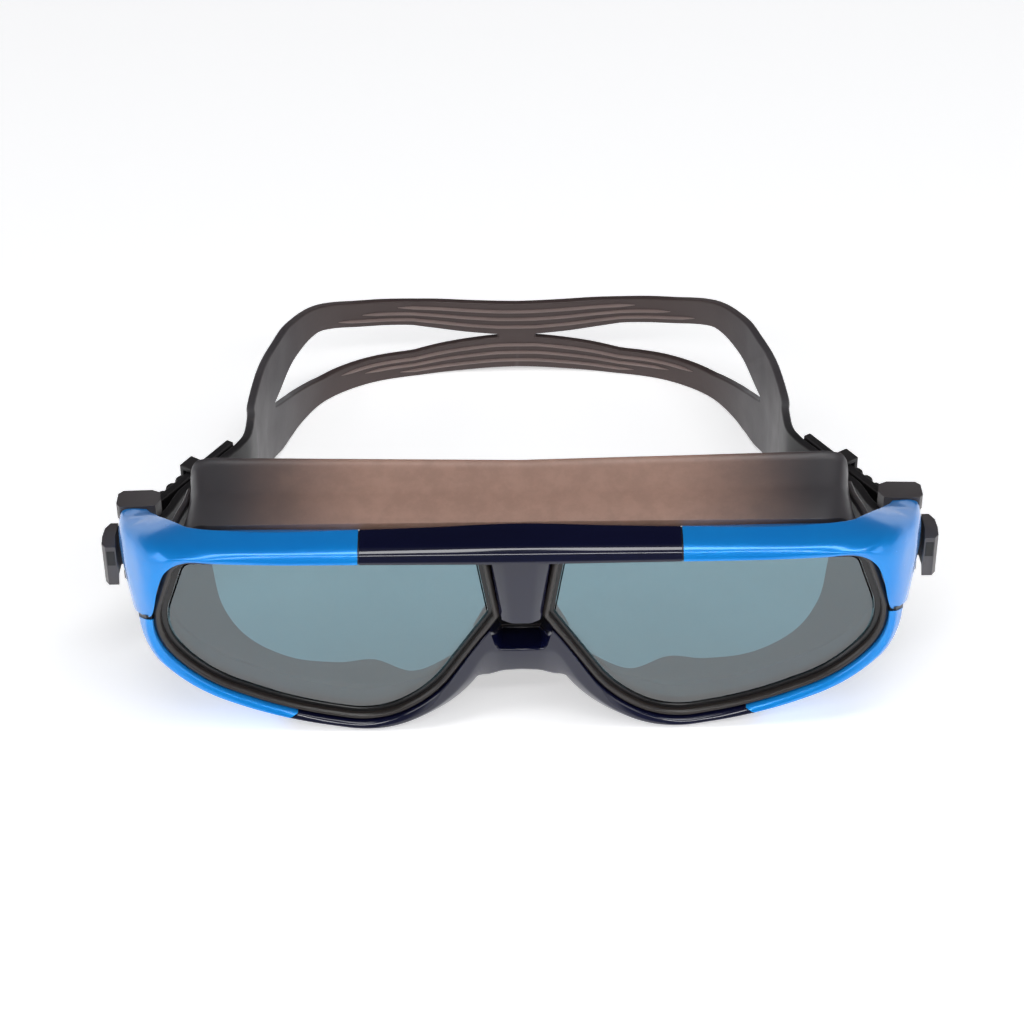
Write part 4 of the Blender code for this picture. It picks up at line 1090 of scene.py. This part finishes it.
@dataclass
class HeadStrap:
    """The split strap, its moulded ribs and the teeth on its tails."""

    palette: Palette
    thickness: float = 1.8
    top_z: float = 34.7
    bottom_z: float = 21.3
    band: float = 6.6
    back_top_z: float = 19.0
    tail_length: float = 27.5
    tail_angle: float = math.radians(34.0)
    post: tuple[float, float] = (73.9, 29.0)
    post_radius: float = 0.9
    fit: float = 0.3
    layer_step: float = 2.3
    steps: int = 8
    window_start_x: float = 4.5
    window_full_x: float = 24.5
    window_full_q: float = 115.0
    window_end_q: float = 91.3
    window_end_gap: float = 0.8
    window_spans: tuple[float, float] = (0.5, 6.5)
    front_share: float = 0.36
    low_turn: float = 0.55
    low_rise: float = 3.0
    high_turn: float = 0.15
    high_rise: float = 5.0
    corner_x: float = 52.0
    corner_rise: float = 7.0
    lift: float = 1.2
    lift_x: float = 25.0
    hump: float = 1.2
    hump_x: float = 47.0
    hump_run: float = 14.0
    hump_q: float = 80.0
    hump_fade: float = 15.0
    rib_height: float = 0.45
    rib_width: float = 0.85
    rib_count: int = 3
    rib_reach: float = 2.6
    rib_stagger: float = 0.55
    tooth_count: int = 4
    tooth_start: float = 2.4
    tooth_pitch: float = 3.1
    tooth: Profile = ((-1.1, -0.15), (-1.0, 0.5), (-0.5, 0.9), (0.1, 0.95), (0.8, 0.6), (1.1, -0.15))
    tail_steps: int = 12

    @property
    def turn_radius(self) -> float:
        """Radius of the strap's middle layer round the post."""
        return self.post_radius + self.fit + self.thickness / 2

    def from_post(self, along: float, across: float) -> tuple[float, float]:
        """A plan point (x, q) given along the tail and across it from the post."""
        sine, cosine = math.sin(self.tail_angle), math.cos(self.tail_angle)
        return (self.post[0] - along * sine + across * cosine, self.post[1] + along * cosine + across * sine)

    def path(self) -> list[tuple[float, float, float]]:
        """Right half of the strap's middle layer as (x, q, narrow share), from the back to the tail's end."""
        back = DEPTH - self.thickness / 2
        inner = self.turn_radius - self.layer_step
        wide = [(0.0, back), (10.0, back - 0.2), (20.8, back - 1.0), (34.4, back - 4.3), (44.9, back - 11.2),
                (50.8, back - 20.8), (53.8, back - 30.4), (55.9, back - 40.5), (57.2, back - 56.0)]
        neck = [self.from_post(*spot) for spot in ((38.5, inner + 5.5), (32.0, inner + 1.3), (27.5, inner))]
        narrow = [self.from_post(*spot) for spot in ((21.0, inner), (10.0, inner), (6.5, inner - 0.5),
                                                     (3.0, 0.4 - self.turn_radius), (0.0, -self.turn_radius))]
        path = through(wide + neck + narrow, self.steps)
        first, last = self.steps * (len(wide) - 3), self.steps * (len(wide) + 2)
        shares = [ease((i - first) / (last - first)) for i in range(len(path))]
        turns = 2 * self.steps
        for k in range(1, turns):
            angle = math.pi * k / turns
            path.append(self.from_post(-self.turn_radius * math.sin(angle),
                                       -self.turn_radius * math.cos(angle)))
        path += [self.from_post(self.tail_length * k / self.tail_steps, self.turn_radius)
                 for k in range(self.tail_steps + 1)]
        return [(*point, shares[i] if i < len(shares) else 1.0) for i, point in enumerate(path)]

    def heights(self, x: float, q: float, share: float) -> tuple[float, float, float, float]:
        """Heights of the four long edges: bottom, top of the lower band, bottom of the upper band, top."""
        from_back = min(1.0, max(0.0, (DEPTH - q) / (self.front_share * DEPTH)))
        spread = min(1.0, abs(x) / self.corner_x)
        low = 0.02 + self.low_rise * max(0.0, from_back - self.low_turn) / (1 - self.low_turn)
        high = (self.back_top_z + self.corner_rise * spread ** 1.6
                + self.high_rise * max(0.0, from_back - self.high_turn))
        low += self.lift * ease(1 - abs(x) / self.lift_x)
        at_corner = ease(1 - abs(abs(x) - self.hump_x) / self.hump_run)
        high += self.hump * at_corner * ease((q - self.hump_q) / self.hump_fade)
        low += (self.bottom_z - low) * share
        high += (self.top_z - high) * share
        band = min(self.band, 0.47 * (high - low))
        pinch = 0.5 * (high - low - self.window_end_gap)
        back_closing = 1 - (abs(x) - self.window_start_x) / (self.window_full_x - self.window_start_x)
        front_closing = (self.window_full_q - q) / (self.window_full_q - self.window_end_q)
        band += (pinch - band) * min(1.0, max(0.0, back_closing, front_closing))
        return low, low + band, high - band, high

    def columns(self) -> tuple[list[Column], int]:
        """Every section from one tail's end to the other, and the index of the middle one."""
        half = self.path()
        whole = [(-x, q, share) for x, q, share in reversed(half[1:])] + half
        out = []
        for i, (x, q, share) in enumerate(whole):
            before, after = whole[max(0, i - 1)], whole[min(len(whole) - 1, i + 1)]
            dx, dq = after[0] - before[0], after[1] - before[1]
            size = math.hypot(dx, dq)
            out.append(Column(x, q, -dq / size, dx / size, self.heights(x, q, share)))
        return out, len(half) - 1

    def build_band(self, columns: list[Column], middle: int) -> Piece:
        """The strap itself, with its two windows."""
        solid = Solid()
        add, new = solid.mesh.faces.new, solid.mesh.verts.new
        half = self.thickness / 2
        grid = [[[new(place(*column.at(z, out))) for z in column.heights] for out in (-half, half)]
                for column in columns]
        first, last = (round(span * self.steps) for span in self.window_spans)

        def split(cell: int) -> bool:
            """Whether the window opens between two columns."""
            offset = cell - middle if cell >= middle else middle - cell - 1
            return first <= offset < last

        for i in range(len(grid) - 1):
            (a, b), (c, d) = grid[i], grid[i + 1]
            for row in range(3):
                if row == 1 and split(i):
                    continue
                add((a[row], c[row], c[row + 1], a[row + 1]))
                add((b[row], b[row + 1], d[row + 1], d[row]))
            add((a[0], b[0], d[0], c[0]))
            add((a[3], c[3], d[3], b[3]))
            if split(i):
                add((a[1], c[1], d[1], b[1]))
                add((a[2], b[2], d[2], c[2]))
            for near, far in ((i, i - 1), (i + 1, i + 1)):
                if split(i) and not split(far):
                    p, r = grid[near]
                    add((p[1], p[2], r[2], r[1]))
        for p, r in (grid[0], grid[-1]):
            for row in range(3):
                add((p[row], p[row + 1], r[row + 1], r[row]))
        return solid.finish("split_strap", Slot.STRAP, self.palette[Slot.STRAP], ("head_strap",), bevel=0.4)

    def build_ribs(self, columns: list[Column], middle: int) -> Piece:
        """Thin ribs along the inner faces of both bands, each a little longer than the one before."""
        solid = Solid()
        inner = self.thickness / 2
        for low_edge, high_edge, upwards in ((0, 1, True), (2, 3, False)):
            for k in range(self.rib_count):
                rank = k if upwards else self.rib_count - 1 - k
                reach = int(self.steps * (self.rib_reach + self.rib_stagger * rank))
                rings = []
                for i in range(middle - reach, middle + reach + 1):
                    column = columns[i]
                    low, high = column.heights[low_edge], column.heights[high_edge]
                    taper = min(1.0, 0.15 + 0.5 * min(i - middle + reach, middle + reach - i))
                    z = low + (high - low) * (0.26 + 0.25 * k)
                    wide, tall = self.rib_width / 2 * taper, self.rib_height * taper
                    section = [(-wide, -0.1), (-wide * 0.7, tall * 0.7), (0.0, tall),
                               (wide * 0.7, tall * 0.7), (wide, -0.1)]
                    rings.append([column.at(z + dz, -inner - out) for dz, out in section])
                solid.loft(rings)
        return solid.finish("strap_ribs", Slot.STRAP, self.palette.rib)

    def build_teeth(self, side: Side) -> Piece:
        """Upright teeth on the outer face of one tail."""
        solid = Solid()
        face = self.turn_radius + self.thickness / 2
        for k in range(self.tooth_count):
            along = self.tooth_start + self.tooth_pitch * k
            rings = []
            for z, shrink in ((self.bottom_z + 0.5, 0.5), (self.bottom_z + 1.2, 1.0), (self.top_z - 1.0, 1.0),
                              (self.top_z - 0.05, 0.55)):
                plan = [self.from_post(along + a, face + (out * shrink if out > 0 else out))
                        for a, out in self.tooth]
                rings.append([(side.value * x, z, q) for x, q in plan])
            solid.loft(rings)
        return solid.finish(f"tail_teeth_{side.tag}", Slot.STRAP, self.palette[Slot.STRAP], bevel=0.1)

    def build(self) -> list[Piece]:
        """Every piece of the strap."""
        columns, middle = self.columns()
        return [self.build_band(columns, middle), self.build_ribs(columns, middle)] + [
            self.build_teeth(side) for side in Side]


# ------------------------------------------------------------------ buckles

@dataclass
class Buckle:
    """One release buckle with its lever, keeper, pins and spring."""

    side: Side
    palette: Palette
    edge: float = 0.7
    keeper_edge: float = 0.35
    recess_z: tuple[float, float] = (27.3, 30.9)
    recess_plan: Profile = ((81.7, 20.82), (83.3, 20.82), (84.05, 21.75), (83.9, 22.3), (82.5, 22.0),
                            (81.7, 22.0))

    def softened(self, node: str, name: str, body: str, slot: Slot, bevel: float) -> Piece:
        """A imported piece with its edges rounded."""
        return Solid().copy_of(node).finish(name, slot, self.palette[slot], (node,), body, bevel)

    def build(self) -> list[Piece]:
        """Every piece of the buckle."""
        tag = self.side.tag
        for node in ("lever_pin", "strap_post", "buckle_pin", "lever_spring"):
            self.paint(f"{node}_{tag}")
        copies = (("buckle_housing", "buckle_body", "frame", Slot.BLACK, self.edge),
                  ("release_lever", "lever_pad", f"lever_{tag}", Slot.BLACK, self.edge),
                  ("strap_keeper", "keeper_loop", f"keeper_{tag}", Slot.STRAP, self.keeper_edge))
        made = [self.softened(f"{node}_{tag}", f"{name}_{tag}", body, slot, bevel)
                for node, name, body, slot, bevel in copies]
        return made + [self.build_recess()]

    def build_recess(self) -> Piece:
        """A near-black block in the upper front of the lever pad: painted shade standing in for the hollow
        there.
        """
        low, high = self.recess_z
        # Painted shade: a near-black block where the hollow in the lever pad lies in shadow.
        rings = [[(self.side.value * x, z, q) for x, q in self.recess_plan] for z in (low, high)]
        return Solid().loft(rings).finish(
            f"lever_recess_{self.side.tag}", Slot.BLACK, self.palette.inside,
            body=f"lever_{self.side.tag}", bevel=0.1)

    def paint(self, node: str) -> None:
        """Give a packed pin or spring its steel finish."""
        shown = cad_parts[node]
        for index in range(len(shown.material_slots)):
            shown.material_slots[index].material = self.palette[Slot.STEEL]


# ------------------------------------------------------------------ studio

@dataclass
class Studio:
    """The pale floor, the soft lights and the camera."""

    target: Vector = field(default_factory=lambda: Vector((-1.55, -27.25, 27.6)) * MM)
    distance: float = 0.600
    elevation: float = math.radians(38.0)
    roll: float = math.radians(-0.66)
    lens: float = 102.3
    floor_size: float = 3.0
    floor_painted_glow: float = 0.52

    def build_floor(self) -> Piece:
        """A wide pale floor."""
        mesh = bmesh.new()
        bmesh.ops.create_grid(mesh, x_segments=8, y_segments=8, size=self.floor_size)
        data = bpy.data.meshes.new("floor")
        mesh.to_mesh(data)
        mesh.free()
        made = bpy.data.objects.new("floor", data)
        bpy.context.scene.collection.objects.link(made)
        look = bpy.data.materials.new("pale_floor")
        look.use_nodes = True
        w = Wiring(look.node_tree)
        shader = look.node_tree.nodes["Principled BSDF"]
        cloud = w.add("ShaderNodeTexNoise", {"Scale": 3.0, "Detail": 3.0})
        pale = w.blend(cloud.outputs["Fac"], rgba((0.90, 0.90, 0.905)), rgba((0.93, 0.93, 0.935)))
        w.feed(shader.inputs["Base Color"], pale)
        shader.inputs["Roughness"].default_value = 0.7
        shader.inputs["Specular IOR Level"].default_value = 0.1
        shader.inputs["Emission Color"].default_value = rgba((1.0, 1.0, 1.0))
        shader.inputs["Emission Strength"].default_value = self.floor_painted_glow
        data.materials.append(look)
        return made

    def softbox(self, name: str, spot: tuple[float, float, float], size: tuple[float, float],
                radiance: float) -> Piece:
        """A rectangular light that looks at the goggles.

        Args:
            name: The light's name.
            spot: Its place, in metres.
            size: Its width and height, in metres.
            radiance: How bright its face is, where the white floor is 1.

        Returns:
            The light.
        """
        light = bpy.data.lights.new(name, "AREA")
        light.shape = "RECTANGLE"
        light.size, light.size_y = size
        light.energy = radiance * math.pi * size[0] * size[1]
        made = bpy.data.objects.new(name, light)
        made.location = spot
        made.rotation_euler = (self.target - Vector(spot)).to_track_quat("-Z", "Y").to_euler()
        bpy.context.scene.collection.objects.link(made)
        return made

    def build_world(self) -> None:
        """Soft light: bright near the horizon, dim overhead and nearly dark behind the goggles."""
        world = bpy.data.worlds.new("studio")
        bpy.context.scene.world = world
        world.use_nodes = True
        w = Wiring(world.node_tree)
        axes = w.add("ShaderNodeSeparateXYZ", {"Vector": w.add("ShaderNodeTexCoord").outputs["Generated"]})
        high = w.span(axes.outputs["Z"], 0.05, 0.30)
        behind = w.maths("MULTIPLY", w.span(axes.outputs["Y"], 0.0, 0.3),
                         w.span(axes.outputs["Z"], 0.1, 0.25))
        colour = w.blend(high, rgba((0.85, 0.86, 0.88)), rgba((0.14, 0.145, 0.16)))
        colour = w.blend(behind, colour, rgba((0.03, 0.03, 0.035)))
        background = world.node_tree.nodes["Background"]
        w.feed(background.inputs["Color"], colour)

    def build_camera(self) -> Piece:
        """The camera, looking down at the front."""
        camera = bpy.data.cameras.new("camera")
        camera.lens = self.lens
        camera.sensor_width = 36.0
        made = bpy.data.objects.new("camera", camera)
        back = Vector((0.0, -math.cos(self.elevation), math.sin(self.elevation)))
        made.location = self.target + back * self.distance
        tilt = Euler((math.pi / 2 - self.elevation, 0.0, 0.0)).to_matrix()
        made.rotation_euler = (tilt @ Matrix.Rotation(self.roll, 3, "Z")).to_euler()
        bpy.context.scene.collection.objects.link(made)
        bpy.context.scene.camera = made
        return made

    def build(self) -> list[Piece]:
        """Everything round the goggles."""
        bpy.context.scene.view_settings.view_transform = "Standard"
        self.build_world()
        return [self.build_camera(), self.build_floor(),
                self.softbox("key", (0.05, -0.62, 0.72), (1.5, 0.06), 9.0),
                self.softbox("overhead", (0.10, -0.24, 0.95), (0.80, 0.18), 6.0),
                self.softbox("right_fill", (0.75, -0.35, 0.40), (0.40, 0.40), 1.6),
                self.softbox("left_fill", (-0.75, -0.25, 0.35), (0.40, 0.40), 2.0)]


def main() -> None:
    """Build the studio and every sub-assembly, and report each piece."""
    logging.basicConfig(level=logging.INFO, format="%(name)s: %(message)s")
    studio = Studio()
    for thing in studio.build():
        LOG.info("studio: %s", thing.name)
    palette = Palette(Effects()).build()
    eye = EyeOutline()
    assemblies = [UpperFrame(eye, palette), LowerFrame(eye, palette), LensStack(eye, palette),
                  FaceSkirt(palette), HeadStrap(palette)] + [Buckle(side, palette) for side in Side]
    for assembly in assemblies:
        for piece in assembly.build():
            LOG.info("%s: %s, %d faces", type(assembly).__name__, piece.name, len(piece.data.polygons))


if __name__ == "__main__":
    main()
